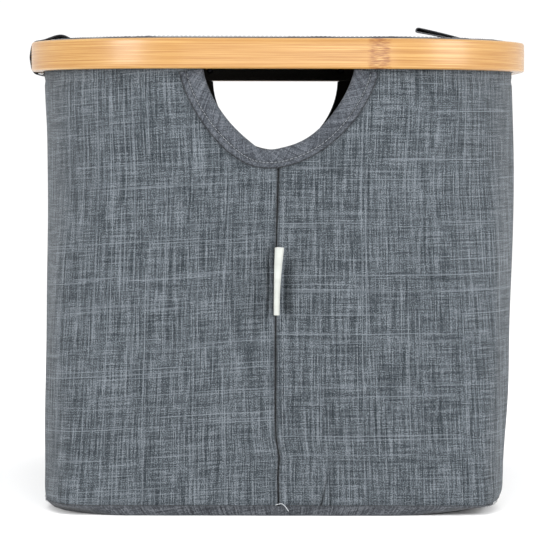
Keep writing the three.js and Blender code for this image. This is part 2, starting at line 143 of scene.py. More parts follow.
def make_piece(name, points, faces, material, uv=None, period=None, sharp=40):
    """One mesh object from points, a list of face arrays and a place on the cloth (uv) for each point.

    The faces are turned outwards. Where uv runs round and meets itself, period is its length."""
    points = np.asarray(points, float).reshape(-1, 3)
    if signed_volume(points, faces) < 0:
        faces = [group[:, ::-1] for group in faces]
    counts = np.concatenate([np.full(len(group), group.shape[1]) for group in faces])
    corners = np.concatenate([group.ravel() for group in faces])
    mesh = bpy.data.meshes.new(name)
    mesh.vertices.add(len(points))
    mesh.vertices.foreach_set("co", points.ravel())
    mesh.loops.add(len(corners))
    mesh.loops.foreach_set("vertex_index", corners.astype(np.int32))
    mesh.polygons.add(len(counts))
    mesh.polygons.foreach_set("loop_start", np.concatenate([[0], np.cumsum(counts)[:-1]]))
    mesh.update(calc_edges=True)
    if uv is not None:
        layer = mesh.uv_layers.new(name="cloth")
        at = np.asarray(uv, float).reshape(-1, 2)[corners]
        if period:
            face = np.repeat(np.arange(len(counts)), counts)
            highest = np.full(len(counts), -1e9)
            np.maximum.at(highest, face, at[:, 0])
            at[:, 0] += period * (at[:, 0] < highest[face] - period / 2)
        layer.data.foreach_set("uv", at.ravel())
    mesh.polygons.foreach_set("use_smooth", np.ones(len(counts), bool))
    mesh.set_sharp_from_angle(angle=math.radians(sharp))
    mesh.materials.append(material)
    piece = bpy.data.objects.new(name, mesh)
    bpy.context.scene.collection.objects.link(piece)
    return piece


def slab(name, outer, inner, material, uv, close_columns=False, period=None, sharp=40):
    """A sheet with thickness: an outer and an inner grid of points, joined round their borders."""
    rows, columns = outer.shape[:2]
    count = rows * columns
    skin = grid_faces(rows, columns, False, close_columns)
    index = np.arange(count).reshape(rows, columns)
    borders = [index[0], index[-1][::-1]]
    if close_columns:
        borders = [np.append(b, b[0]) for b in borders]
    else:
        borders += [index[::-1, 0], index[:, -1]]
    faces = [skin, skin[:, ::-1] + count]
    faces += [np.stack([b[1:], b[:-1], b[:-1] + count, b[1:] + count], 1) for b in borders]
    points = np.concatenate([outer.reshape(-1, 3), inner.reshape(-1, 3)])
    places = np.concatenate([uv.reshape(-1, 2), uv.reshape(-1, 2)])
    return make_piece(name, points, faces, material, places, period, sharp)


def bowl(name, outer, inner, material, uv):
    """A sheet with thickness that runs round in columns and closes on the middle point of its last row."""
    rows, columns = outer.shape[:2]
    count = rows * columns
    skin = grid_faces(rows, columns, False, True)
    top = np.append(np.arange(columns), 0)
    last = top + (rows - 1) * columns
    middle = np.full(columns, 2 * count)
    faces = [
        skin,
        skin[:, ::-1] + count,
        np.stack([top[1:], top[:-1], top[:-1] + count, top[1:] + count], 1),
        np.stack([last[1:], middle, last[:-1]], 1),
        np.stack([last[:-1] + count, middle + 1, last[1:] + count], 1),
    ]
    middles = [outer[-1].mean(0), inner[-1].mean(0)]
    points = np.concatenate([outer.reshape(-1, 3), inner.reshape(-1, 3), middles])
    flat = uv.reshape(-1, 2)
    places = np.concatenate([flat, flat, [uv[-1].mean(0)] * 2])
    return make_piece(name, points, faces, material, places)


def threads(name, paths, radius, material):
    """Short round threads: paths is (threads, points, 3); each tube tapers at its two ends.

    A tube is a ring of six points across its path, carried along it."""
    sides, tip = 6, 0.45
    paths = np.asarray(paths, float)
    count, steps = paths.shape[:2]
    along = unit(np.gradient(paths, axis=1))
    guess = np.where(np.abs(along[..., 2:3]) > 0.8, [[[1.0, 0, 0]]], [[[0, 0, 1.0]]])
    side = unit(np.cross(along, guess))
    up = np.cross(side, along)
    taper = np.ones(steps)
    taper[[0, -1]] = tip
    angle = 2 * np.pi * np.arange(sides) / sides
    ring = (
        side[:, :, None] * np.cos(angle)[None, None, :, None]
        + up[:, :, None] * np.sin(angle)[None, None, :, None]
    )
    points = paths[:, :, None] + ring * radius * taper[None, :, None, None]
    one = grid_faces(steps, sides, False, True)
    offsets = (np.arange(count) * steps * sides)[:, None, None]
    faces = [(one[None] + offsets).reshape(-1, 4)]
    caps = np.stack([np.arange(sides)[::-1], (steps - 1) * sides + np.arange(sides)])
    faces.append((caps[None] + offsets).reshape(-1, sides))
    return make_piece(name, points, faces, material, sharp=80)


# ---- Shapes carried round the plan ---------------------------------------------------------------


def plan(turn, inset, z):
    """A place on the rounded rectangle at an inset and a height, and the way out from it.

    turn runs 0 to 1 round the outline from the middle of the front through +X. Each quarter of it is
    a straight, a quarter circle and a straight, and the circle shrinks from the hoop to the base."""
    turn, inset, z = np.broadcast_arrays(turn, inset, z)
    corner = BASE_CORNER + (HOOP_CORNER - BASE_CORNER) * np.clip(z / HOOP_BOTTOM, 0, 1)
    radius = corner - inset
    p, q = HALF_WIDTH - corner, HALF_LENGTH - corner
    arc = radius * np.pi / 2
    at = (turn % 1) * 4
    quarter = np.floor(at).astype(int) % 4
    share = at - np.floor(at)
    along = np.where(quarter % 2 == 0, share, 1 - share) * (p + q + arc)
    angle = np.clip((along - p) / radius, 0, np.pi / 2)
    x = np.minimum(along, p) + radius * np.sin(angle)
    y = q + radius * np.cos(angle) - np.maximum(along - p - arc, 0)
    side_x = np.where(quarter < 2, 1, -1)
    side_y = np.where((quarter == 0) | (quarter == 3), -1, 1)
    return x * side_x, y * side_y, np.sin(angle) * side_x, np.cos(angle) * side_y


# One turn of cloth, nearly the same at every height: the hoop's outline, one thickness in.
ROUND = 4 * (HALF_WIDTH + HALF_LENGTH - 2 * HOOP_CORNER) + 2 * np.pi * (HOOP_CORNER - HOOP_THICKNESS)


def carried(turn, inset, z):
    """Points of a section carried round the plan."""
    x, y, _, _ = plan(turn, inset, z)
    return spread(x, y, z)


def ring(name, turns, inset, z, material, sharp=40):
    """A closed section carried once round the plan; uv is the way round and the way round the section."""
    points = carried(turns[:, None], inset, z)
    along = (turns - turns[0]) * ROUND
    uv = spread(along[:, None], run_along(points[0]))
    faces = [grid_faces(points.shape[0], points.shape[1], True, True)]
    return make_piece(name, points, faces, material, uv, ROUND, sharp)


def rounded_section(low_inset, high_inset, low_z, high_z, edge, arc_steps, side_steps):
    """A rounded rectangle as insets and heights, with extra points along its long sides."""
    insets, heights = [], []
    corners = [
        (low_inset + edge, low_z + edge, 270, 180),
        (low_inset + edge, high_z - edge, 180, 90),
        (high_inset - edge, high_z - edge, 90, 0),
        (high_inset - edge, low_z + edge, 0, -90),
    ]
    for x, z, first, last in corners:
        angle = np.radians(np.linspace(first, last, arc_steps + 1))
        insets.append(x + edge * np.cos(angle))
        heights.append(z + edge * np.sin(angle))
    for i in (0, 2):
        share = np.arange(1, side_steps) / side_steps
        ends = insets[i][-1], heights[i][-1], insets[i + 1][0], heights[i + 1][0]
        insets[i] = np.append(insets[i], ends[0] + (ends[2] - ends[0]) * share)
        heights[i] = np.append(heights[i], ends[1] + (ends[3] - ends[1]) * share)
    return np.concatenate(insets), np.concatenate(heights)


def sway(points, seed, length, stretch=(1, 1, 1)):
    """Smooth seeded ups and downs between about -1 and 1: a sum of sine waves across space.

    length is the middle wavelength, and stretch makes the waves longer along an axis."""
    count = 14
    draw = np.random.default_rng(seed)
    ways = unit(draw.normal(size=(count, 3)))
    ways *= (2 * np.pi / length) * draw.uniform(0.6, 1.5, (count, 1)) / np.array(stretch)
    phase = draw.uniform(0, 2 * np.pi, count)
    total = np.zeros(points.shape[:-1])
    for way, start in zip(ways, phase):
        total += np.sin(points @ way + start)
    return total / np.sqrt(count * 0.5) * 0.6


def smooth_step(at, low, high):
    """0 below low, 1 above high, and an even swing between."""
    share = np.clip((at - low) / (high - low), 0, 1)
    return share * share * (3 - 2 * share)


def bump(at, centre, width):
    """A bell, 1 at its centre."""
    return np.exp(-(((at - centre) / width) ** 2))


def softened(line, rounds):
    """A line with its turns rounded off: each round averages every inner point with its neighbours."""
    for _ in range(rounds):
        line[1:-1] = 0.25 * line[:-2] + 0.5 * line[1:-1] + 0.25 * line[2:]
    return line


def steps_between(stops):
    """Evenly spaced values between stops given as (value, spacing that follows it)."""
    values = []
    for (a, spacing), (b, _) in zip(stops[:-1], stops[1:]):
        count = max(1, round((b - a) / spacing))
        values.append(np.linspace(a, b, count, endpoint=False))
    return np.concatenate(values + [[stops[-1][0]]])


# ---- The bag's wall ----------------------------------------------------------------------------

# How far the middle seams wander sideways at each height, in millimetres.
SEAM_DRIFT = np.array(
    [[0, 0.4], [13, 0.5], [30, 0], [46, 1.0], [62, -1.6], [85, -2.0], [155, -2.0], [225, -1.4], [275, 0]]
) * MM

wall_heights = np.arange(0, 376) * MM
wall_profiles = []
for column in (1, 2, 3):
    raw = np.interp(wall_heights, WALL[:, 0], WALL[:, column])
    for _ in range(5):  # soften the turns of the profile, less towards the base
        smooth = np.convolve(np.pad(raw, 12, mode="edge"), np.ones(25) / 25, mode="valid")
        keep = np.clip((wall_heights - 14 * MM) / (50 * MM), 0, 1)
        raw = raw + (smooth - raw) * keep
    wall_profiles.append(raw)


def creases(s, z, seam):
    """How far the cloth's folds stand out at a way round s and a height z, in metres."""
    lift = np.zeros(np.broadcast(s, z).shape)
    side = np.abs(((s + ROUND / 4) % (ROUND / 2)) - ROUND / 4)  # away from the nearer middle seam
    # Middle seams: the two halves turn in, with a soft ridge each side.
    if seam:
        lift += 0.9 * MM * bump(side, 3.2 * MM, 2.2 * MM) - 3.0 * MM * bump(side, 0, 1.1 * MM)
    # Two pleats caught in the bottom seam, right of the middle, that lean up to the right.
    for foot, reach, rise, depth, width in ((30.5, 8.5, 38, 3.2, 1.0), (37.5, 1.5, 46, 1.6, 0.9)):
        up = np.clip((z - 6 * MM) / (rise * MM), 0, 1)
        line = foot * MM + reach * MM * up
        fade = (1 - up) ** 0.7
        lift -= depth * MM * bump(s, line, width * MM) * fade
        lift += 0.6 * depth * MM * bump(s, line - 4.5 * MM, 3.2 * MM) * fade
    # A short tuck beside them, in the last centimetre.
    lift -= 2.4 * MM * bump(s, 25 * MM, 1.2 * MM) * np.clip(1 - (z - 6 * MM) / (7 * MM), 0, 1)
    # The cloth dips on both sides of the label that the front seam holds.
    beside = smooth_step(z, 0.153, 0.162) * smooth_step(0.215 - z, 0, 0.009)
    lift -= 2.4 * MM * bump(s, -5.2 * MM, 1.0 * MM) * beside
    lift -= 3.2 * MM * bump(s, 6.5 * MM, 2.6 * MM) * beside * smooth_step(0.203 - z, 0, 0.012)
    # A soft upright ridge in the front right corner, fading in below the hoop.
    ridge = np.clip((0.30 - z) / 0.06, 0, 1) * np.clip((z - 0.02) / 0.10, 0, 1)
    lift += 0.9 * MM * bump(s, 172 * MM, 7 * MM) * ridge
    # Small gathers along the bottom seam and a hem line under the hoop.
    gather = np.sin(s / (4.1 * MM) + 2.1 * np.sin(s / (23 * MM))) * np.sin(s / (9.7 * MM) + 1.3)
    lift += 0.55 * MM * gather * np.exp(-np.maximum(z - 7 * MM, 0) / (9 * MM))
    lift -= 0.6 * MM * bump(z, HEM_LINE, 0.9 * MM)
    return lift


def wall(s, z, lift=0.0, seam=True):
    """The bag's outer face at a way round s from the middle of the front, and a height z.

    Without its seam it is the smooth face that a band lies on."""
    s, z = np.broadcast_arrays(s, z)
    turn = s / ROUND
    left, right, ends = (np.interp(z, wall_heights, profile) for profile in wall_profiles)
    x, y, out_x, out_y = plan(turn, ends, z)
    # The sides' lean starts late round a corner, and earlier towards the base.
    sideways = smooth_step(np.abs(out_x), 0.70 - 0.38 * smooth_step(0.14 - z, 0, 0.12), 0.98)
    inset = ends + (np.where(x < 0, left, right) - ends) * sideways
    # Beside the corners the cloth rolls under over its last centimetre.
    low = np.clip(1 - (z - 7 * MM) / (10 * MM), 0, 1) ** 2
    depth = np.where(x < 0, 0.9, 1.6 + 4.4 * sideways) * MM
    inset = inset + low * depth * smooth_step(np.abs(out_x), 0.1, 0.6)
    x, y, out_x, out_y = plan(turn, inset, z)
    points = spread(x, y, z)
    free = np.clip((HOOP_BOTTOM - 4 * MM - z) / (40 * MM), 0, 1) * np.clip((z - 8 * MM) / (30 * MM), 0, 1)
    soft = sway(points, 5, 150 * MM, stretch=(1, 1, 2.6)) * 1.3 * MM
    soft += sway(points, 8, 48 * MM, stretch=(1, 1, 2.2)) * 0.42 * MM
    # The corners of the cloth belly and fold a little more than the flats.
    corner = np.abs(out_x * out_y) * 2
    soft += sway(points, 13, 60 * MM, stretch=(1, 1, 3.0)) * 0.8 * MM * corner
    out = soft * free + creases(s, z, seam) + lift
    points[..., 0] += out_x * out + np.interp(z, SEAM_DRIFT[:, 0], SEAM_DRIFT[:, 1]) * bump(x, 0, 45 * MM)
    points[..., 1] += out_y * out
    return points


def hole_side(share, back):
    """Half the hand hole's outline and its outward way: a cubic curve's point and turned slope."""
    t = np.asarray(share)[..., None]
    a, b, c, d = HOLE_CURVES[back]
    point = a * (1 - t) ** 3 + 3 * b * t * (1 - t) ** 2 + 3 * c * t**2 * (1 - t) + d * t**3
    slope = unit(3 * ((b - a) * (1 - t) ** 2 + 2 * (c - b) * t * (1 - t) + (d - c) * t**2))
    return point, np.stack([-slope[..., 1], slope[..., 0]], -1)


def hole_edge(share, away, back):
    """A line beside a hand hole's edge: share runs -1 to 1 along it, away is the distance out from it.

    Gives the way from the middle and the height. The cloth drags the bottom to one side."""
    point, normal = hole_side(1 - np.abs(share), back)
    sign = np.sign(share) + (share == 0)
    depth = np.clip((HOOP_BOTTOM - point[..., 1]) / HOLE_DROP, 0, 1)
    even, deep = HOLE_LAG[back]
    # The deep drag is sharpest at the edge, and spreads out away from it.
    sharpness = np.clip(16 - 0.8 * away / MM, 4, 16)
    side = (point[..., 0] + normal[..., 0] * away) * sign - even * depth - deep * depth**sharpness
    return side, point[..., 1] + normal[..., 1] * away


def hole_top(s, top):
    """The wall's top edge: the hand hole's curve near each short side's middle, else the given top."""
    back = np.abs(((s + ROUND / 2) % ROUND) - ROUND / 2) > ROUND / 4
    side = ((s + ROUND / 4) % (ROUND / 2)) - ROUND / 4
    height = np.zeros(np.shape(s))
    for way in (False, True):
        along, edge = hole_edge(np.linspace(-1, 1, 400), 0.0, way)
        height = np.where(back == way, np.interp(side, along, edge), height)
    return np.where(np.abs(side) < HOLE_HALF, height, top)


# ---- Materials ---------------------------------------------------------------------------------


class Wire:
    """A number that a node gives; sums on it add Math nodes to the same finish."""

    def __init__(self, finish, socket):
        self.finish, self.socket = finish, socket

    def math(self, operation, *others):
        values = {i + 1: other for i, other in enumerate(others)}
        return self.finish.node("Math", {"operation": operation}, {0: self, **values})

    def __add__(self, other):
        return self.math("ADD", other)

    def __sub__(self, other):
        return self.math("SUBTRACT", other)

    def __mul__(self, other):
        return self.math("MULTIPLY", other)

    def __truediv__(self, other):
        return self.math("DIVIDE", other)

    __radd__ = __add__

    def __rsub__(self, other):
        return self.finish.node("Math", {"operation": "SUBTRACT"}, {0: other, 1: self})


class Finish:
    """A procedural material: fixed values on the shader's own sockets, and nodes for what varies."""

    def __init__(self, name, **fixed):
        self.material = bpy.data.materials.new(name)
        self.material.use_nodes = True
        self.tree = self.material.node_tree
        self.tree.nodes.clear()
        self.shader = self.tree.nodes.new("ShaderNodeBsdfPrincipled")
        output = self.tree.nodes.new("ShaderNodeOutputMaterial")
        self.tree.links.new(self.shader.outputs[0], output.inputs[0])
        for socket, value in fixed.items():
            self.shader.inputs[socket.replace("_", " ")].default_value = value

    def node(self, kind, settings=None, values=None, output=0):
        """Adds one node: its settings, then its sockets' values or links. Gives one output's wire."""
        node = self.tree.nodes.new("ShaderNode" + kind)
        settings = dict(settings or {})
        stops = settings.pop("stops", None)
        for key, value in settings.items():
            setattr(node, key, value)
        if stops:
            ramp = node.color_ramp
            while len(ramp.elements) < len(stops):
                ramp.elements.new(1)
            for element, (place, colour) in zip(ramp.elements, stops):
                element.position = place
                element.color = colour
        for key, value in (values or {}).items():
            if isinstance(value, Wire):
                self.tree.links.new(value.socket, node.inputs[key])
            else:
                node.inputs[key].default_value = value
        return Wire(self, node.outputs[output])

    def place(self):
        """Places on the piece in metres, from its own axes."""
        return self.node("TexCoord", output="Object")

    def cloth(self):
        """Places on the flat cloth in metres, from the piece's own layer."""
        return self.node("UVMap", {"uv_map": "cloth"})

    def parts(self, vector):
        source = self.node("SeparateXYZ", values={0: vector}).socket.node
        return [Wire(self, source.outputs[i]) for i in range(3)]

    def joined(self, x=0.0, y=0.0, z=0.0):
        return self.node("CombineXYZ", values={0: x, 1: y, 2: z})

    def noise(self, vector, scale, detail=2.0, rough=0.5):
        values = {"Vector": vector, "Scale": scale, "Detail": detail, "Roughness": rough}
        return self.node("TexNoise", values=values)

    def ramp(self, factor, *stops):
        return self.node("ValToRGB", {"stops": stops}, {0: factor})

    def span(self, value, low, high, to_low=0.0, to_high=1.0):
        """value taken from low..high to to_low..to_high, and held there."""
        settings = {"clamp": True, "interpolation_type": "SMOOTHSTEP"}
        return self.node("MapRange", settings, {0: value, 1: low, 2: high, 3: to_low, 4: to_high})

    def mix(self, factor, a, b, blend="MIX"):
        settings = {"data_type": "RGBA", "blend_type": blend}
        return self.node("Mix", settings, {0: factor, 6: a, 7: b}, output=2)

    def paint(self, colour, rough, height, depth, strength, **links):
        """Links a colour, a roughness and a relief of a depth, and any more sockets by name."""
        relief = self.node("Bump", values={"Height": height, "Distance": depth, "Strength": strength})
        links.update(Base_Color=colour, Roughness=rough, Normal=relief)
        for socket, wire in links.items():
            self.tree.links.new(wire.socket, self.shader.inputs[socket.replace("_", " ")])
        return self.material


def shade(red, green, blue):
    """A colour given as display values from 0 to 255, as the light values a shader takes."""
    part = [c / 255 for c in (red, green, blue)]
    return (*(c / 12.92 if c <= 0.04045 else ((c + 0.055) / 1.055) ** 2.4 for c in part), 1.0)


def brighter(colour, times, more=0.0):
    """A colour with its light multiplied and raised, and held at 1."""
    return (*(min(1.0, c * times + more) for c in colour[:3]), 1.0)


def woven(finish, u, v, pitch):
    """A plain weave: which thread is on top (0 or 1), and the height of the threads' crowns."""
    across = (u * (math.pi / pitch)).math("SINE")
    along = (v * (math.pi / pitch)).math("SINE")
    crowns = across.math("ABSOLUTE") * along.math("ABSOLUTE")
    return (across * along).math("GREATER_THAN", 0.0), crowns


def linen_cloth(name, dark, middle, light, turn=0.0, slub=1.0, painted_groove_shade=()):
    """Grey linen: straight threads both ways, each darker and lighter along its length, and pale slubs.

    Painted groove shade is given as (place, half width, depth of painted shade) across the cloth: painted
    shade where a fold keeps the light out."""
    finish = Finish(name, Sheen_Weight=0.1, Sheen_Roughness=0.45, Specular_IOR_Level=0.2)
    u, v, _ = finish.parts(finish.cloth())
    shades = [
        finish.span((v - place * MM).math("ABSOLUTE"), 0.0, half * MM, 1 - depth, 1.0)
        for place, half, depth in painted_groove_shade
    ]
    if turn:
        c, s = math.cos(math.radians(turn)), math.sin(math.radians(turn))
        u, v = u * c - v * s, u * s + v * c
    u = u + (finish.noise(finish.joined(u, v), 9.0, 1.5) - 0.5) * (2.6 * MM)
    v = v + (finish.noise(finish.joined(v, u, 3.0), 9.0, 1.5) - 0.5) * (2.6 * MM)
    on_top, crowns = woven(finish, u, v, 0.62 * MM)

    def lengths(across, along, thread, run, seed):
        """Thread-wide streaks: each thread, by its number, has its own slow noise along its length."""
        index = (across / thread).math("FLOOR")
        return finish.noise(finish.joined(index * 5.17, along / run, seed), 1.0, 2.0, 0.55)

    def slubs(across, along, thread, run, seed):
        """Single pale threads: a seeded draw picks them, and each comes and goes along its length."""
        index = (across / thread).math("FLOOR")
        draw = finish.node("TexWhiteNoise", {"noise_dimensions": "1D"}, {"W": index + seed})
        middle = 1 - ((across / thread).math("FRACT") * 2 - 1).math("ABSOLUTE")
        here = finish.noise(finish.joined(index * 3.7, along / run, seed), 1.0, 1.0)
        return finish.span(draw, 0.78, 1.0) * finish.span(middle, 0.0, 0.55) * finish.span(here, 0.44, 0.56)

    warp = lengths(u, v, 0.84 * MM, 46 * MM, 1.0) * 0.7 + lengths(u, v, 0.8 * MM, 8 * MM, 21.0) * 0.3
    weft = lengths(v, u, 0.84 * MM, 36 * MM, 7.0) * 0.7 + lengths(v, u, 0.8 * MM, 6 * MM, 27.0) * 0.3
    fine = finish.noise(finish.joined(u / (0.85 * MM), v / (0.85 * MM), 4.0), 1.0, 1.0)
    cloudy = finish.noise(finish.joined(u, v, 9.0), 16.0, 3.0)
    one = on_top * warp + (1 - on_top) * weft
    tone = 0.5 + (warp - 0.5) * 1.1 + (weft - 0.5) * 0.65 + (one - 0.5) * 0.5
    tone = tone + (fine - 0.5) + (cloudy - 0.5) * 0.04
    colour = finish.ramp(tone, (0.24, dark), (0.5, middle), (0.76, light))
    level_slubs = slubs(v, u, 1.0 * MM, 70 * MM, 15.0)
    pale_threads = slubs(u, v, 1.05 * MM, 80 * MM, 11.0).math("MAXIMUM", level_slubs)
    pale_threads = pale_threads * (0.52 * slub)
    colour = finish.mix(pale_threads, colour, brighter(light, 1.25))
    # Painted shade: the colour darkens between the threads' crowns and along any painted groove shade.
    gap = math.prod(shades, start=finish.span(crowns, 0.0, 0.35, 0.72, 1.0))
    colour = finish.mix(1.0, colour, finish.joined(gap, gap, gap), "MULTIPLY")
    height = crowns * 0.5 + pale_threads * 0.6 + one * 0.7
    rough = finish.span(tone, 0.2, 0.8, 0.95, 0.82)
    return finish.paint(colour, rough, height, 0.28 * MM, 0.9)


def bamboo():
    """Lacquered bamboo: fine straight fibres along the strip, soft broad bands, and a few knuckles."""
    finish = Finish("bamboo", Coat_Roughness=0.26, Specular_IOR_Level=0.35, Coat_IOR=1.4)
    u, v, _ = finish.parts(finish.cloth())
    spans = []
    for place in KNUCKLES:
        ragged = (finish.noise(finish.joined(u, v, place), 260.0, 3.0) - 0.5) * (5 * MM)
        spans.append(finish.span((u + ragged - place).math("ABSOLUTE"), 4 * MM, 10 * MM, 1.0, 0.0))
    knot = sum(spans[1:], spans[0])
    bend = (finish.noise(finish.joined(u * 28.0, v * 160.0, 2.0), 1.0, 2.0) - 0.5) * knot * (3.2 * MM)
    v = v + bend
    fibre = finish.noise(finish.joined(u * 11.0, v * 1500.0, 1.0), 1.0, 4.0, 0.7)
    bundle = finish.noise(finish.joined(u * 4.0, v * 380.0, 5.0), 1.0, 2.0)
    broad = finish.noise(finish.joined(u * 7.0, v * 40.0, 8.0), 1.0, 1.0)
    dashes = finish.noise(finish.joined(u * 130.0, v * 1700.0, 12.0), 1.0, 2.0)
    tone = fibre + bundle * 0.45 + broad * 0.3 - 0.375
    tone = tone + knot * ((dashes - 0.5) * 2.1 - 0.2)
    colour = finish.ramp(
        tone,
        (0.2, shade(122, 74, 24)),
        (0.42, shade(150, 106, 49)),
        (0.56, shade(163, 123, 65)),
        (0.76, shade(182, 147, 89)),
    )
    rough = finish.span(fibre, 0.3, 0.7, 0.5, 0.42)
    coat = finish.span(bundle, 0.2, 0.8, 0.6, 0.8)
    height = fibre * 0.5 + bundle * 0.5 + knot * 0.8
    return finish.paint(colour, rough, height, 0.12 * MM, 0.5, Coat_Weight=coat)


def webbing(name, colour, rib=1.55):
    """Ribbed webbing: rows of plump picks across a strap, in a dark matt yarn."""
    finish = Finish(name, Sheen_Weight=0.25, Sheen_Roughness=0.5, Specular_IOR_Level=0.3)
    u, v, _ = finish.parts(finish.cloth())
    row = (u * (2 * math.pi / (rib * MM))).math("SINE")
    pick = ((v * (2 * math.pi / (1.1 * MM))) + row * 1.2).math("SINE")
    yarn = finish.noise(finish.joined(u * 900.0, v * 1400.0), 1.0, 2.0)
    height = row * 0.35 + pick * 0.4 + yarn * 0.25
    # Painted highlight and shade: the colour follows the relief, lighter on the ribs' crowns and darker in
    # the hollows.
    colour = finish.ramp(height * 0.5 + 0.4, (0.1, colour), (0.9, brighter(colour, 2.6, 0.004)))
    rough = finish.span(yarn, 0.2, 0.8, 0.95, 0.78)
    return finish.paint(colour, rough, height, 0.3 * MM, 0.9)


def pressed_felt(name, dark, light):
    """Thin black lining cloth: pressed fibres with a small embossed lattice of dots."""
    finish = Finish(name, Sheen_Weight=0.1, Specular_IOR_Level=0.25)
    u, v, _ = finish.parts(finish.cloth())
    wave = math.pi / (1.3 * MM)
    lattice = ((u + v) * wave).math("SINE") * ((u - v) * wave).math("SINE")
    dots = finish.span(lattice.math("ABSOLUTE"), 0.55, 0.9)
    fibres = finish.noise(finish.joined(u, v), 900.0, 4.0, 0.7)
    patchy = finish.noise(finish.joined(u, v, 2.0), 30.0, 2.0)
    colour = finish.ramp(fibres * 0.7 + patchy * 0.3, (0.3, dark), (0.7, light))
    rough = finish.span(fibres, 0.2, 0.8, 0.95, 0.8)
    height = fibres * 0.4 - dots * 0.6
    return finish.paint(colour, rough, height, 0.2 * MM, 0.7)


def ribbon_satin():
    """White woven ribbon: a fine shiny rib, with a faint wash of uneven tension."""
    finish = Finish("white_ribbon", Sheen_Weight=0.2, Specular_IOR_Level=0.5)
    u, v, _ = finish.parts(finish.cloth())
    rib = (v * (2 * math.pi / (0.42 * MM))).math("SINE")
    uneven = finish.noise(finish.joined(u, v), 140.0, 2.0)
    colour = finish.ramp(uneven, (0.3, shade(161, 164, 159)), (0.7, shade(174, 177, 172)))
    rough = finish.span(uneven, 0.2, 0.8, 0.55, 0.42)
    return finish.paint(colour, rough, rib + uneven, 0.06 * MM, 0.7)


def brushed_metal(name, colour, roughness):
    """Plated steel: fine turning marks and a little tarnish."""
    finish = Finish(name, Metallic=1.0)
    x, y, z = finish.parts(finish.place())
    marks = finish.noise(finish.joined(x, y, z * 14.0), 900.0, 3.0)
    tarnish = finish.noise(finish.place(), 160.0, 3.0)
    tone = finish.ramp(tarnish, (0.35, brighter(colour, 0.72)), (0.65, colour))
    rough = finish.span(tarnish, 0.3, 0.7, roughness + 0.14, roughness)
    return finish.paint(tone, rough, marks, 0.04 * MM, 0.5)


def moulded(name, dark, light, roughness):
    """Moulded plastic or baked coating: a fine even grain with slightly uneven gloss."""
    finish = Finish(name, Specular_IOR_Level=0.45)
    grain = finish.noise(finish.place(), 1600.0, 2.0)
    cloud = finish.noise(finish.place(), 90.0, 3.0)
    tone = finish.ramp(cloud, (0.35, dark), (0.65, light))
    rough = finish.span(cloud, 0.3, 0.7, roughness + 0.1, roughness - 0.05)
    return finish.paint(tone, rough, grain, 0.05 * MM, 0.5)


def greyboard():
    """Pressed grey board: flecks of paper fibre and darker specks."""
    finish = Finish("greyboard", Specular_IOR_Level=0.2)
    flecks = finish.noise(finish.place(), 420.0, 4.0, 0.7)
    specks = finish.span(finish.noise(finish.place(), 1300.0, 1.0), 0.66, 0.72)
    tone = finish.ramp(flecks, (0.3, shade(122, 111, 98)), (0.7, shade(158, 147, 131)))
    tone = finish.mix(specks * 0.6, tone, shade(80, 72, 64))
    rough = finish.span(flecks, 0.2, 0.8, 0.98, 0.88)
    return finish.paint(tone, rough, flecks, 0.2 * MM, 0.5)


def yarn(name, dark, light):
    """Sewing thread: two plies twisted together."""
    finish = Finish(name, Sheen_Weight=0.3, Specular_IOR_Level=0.35)
    x, y, z = finish.parts(finish.place())
    plies = ((x + y + z) * (2 * math.pi / (0.55 * MM))).math("SINE")
    fuzz = finish.noise(finish.place(), 2400.0, 2.0)
    # Painted shade: the colour follows the plies' twist and is darker in its grooves; the fuzz adds the
    # yarn's own uneven tone.
    tone = finish.ramp(plies * 0.3 + fuzz, (0.3, dark), (0.75, light))
    rough = finish.span(fuzz, 0.2, 0.8, 0.9, 0.7)
    return finish.paint(tone, rough, plies + fuzz, 0.08 * MM, 0.7)


# Knuckles of the bamboo, as ways along the strip from the scarf joint in the middle of the right side.
KNUCKLES = [0.118, 0.455, 0.79, 0.75 * ROUND + 75 * MM, 0.75 * ROUND + 75 * MM + 0.31]

BAMBOO = bamboo()
LINEN = linen_cloth("grey_linen", shade(28, 34, 39), shade(62, 68, 73), shade(107, 113, 119))
# The band's colour gets painted shade along its stitch groove and at its outer edge.
BIAS_LINEN = linen_cloth(
    "grey_linen_bias", shade(42, 45, 51), shade(65, 69, 75), shade(96, 100, 107), turn=45, slub=0.6,
    painted_groove_shade=((14.8, 1.2, 0.6), (20.4, 2.4, 0.8)),
)
BASE_LINEN = linen_cloth(
    "grey_linen_base", shade(31, 33, 37), shade(58, 61, 66), shade(92, 95, 100), turn=8, slub=0.5
)
LINING_CLOTH = pressed_felt("black_lining", shade(58, 56, 52), shade(80, 77, 72))
STRAP_WEB = webbing("charcoal_webbing", shade(33, 34, 40))
BINDING_WEB = webbing("charcoal_binding", shade(36, 36, 41), rib=1.1)
WHITE_RIBBON = ribbon_satin()
GREYBOARD = greyboard()
SCREW_STEEL = brushed_metal("black_screw_steel", shade(58, 58, 61), 0.42)
ROD_STEEL = moulded("rod_steel", shade(30, 32, 35), shade(48, 50, 54), 0.4)
CAP_PLASTIC = moulded("cap_plastic", shade(20, 21, 23), shade(33, 34, 37), 0.5)
GREY_THREAD = yarn("grey_thread", shade(96, 102, 108), shade(150, 156, 162))
SEAM_THREAD = yarn("seam_thread", shade(66, 71, 77), shade(104, 110, 117))
BAND_THREAD = yarn("band_thread", shade(112, 118, 124), shade(166, 172, 178))
PALE_THREAD = yarn("pale_thread", shade(150, 154, 158), shade(205, 208, 212))
DARK_THREAD = yarn("dark_thread", shade(30, 31, 35), shade(64, 65, 72))

# ---- The bamboo hoop ---------------------------------------------------------------------------


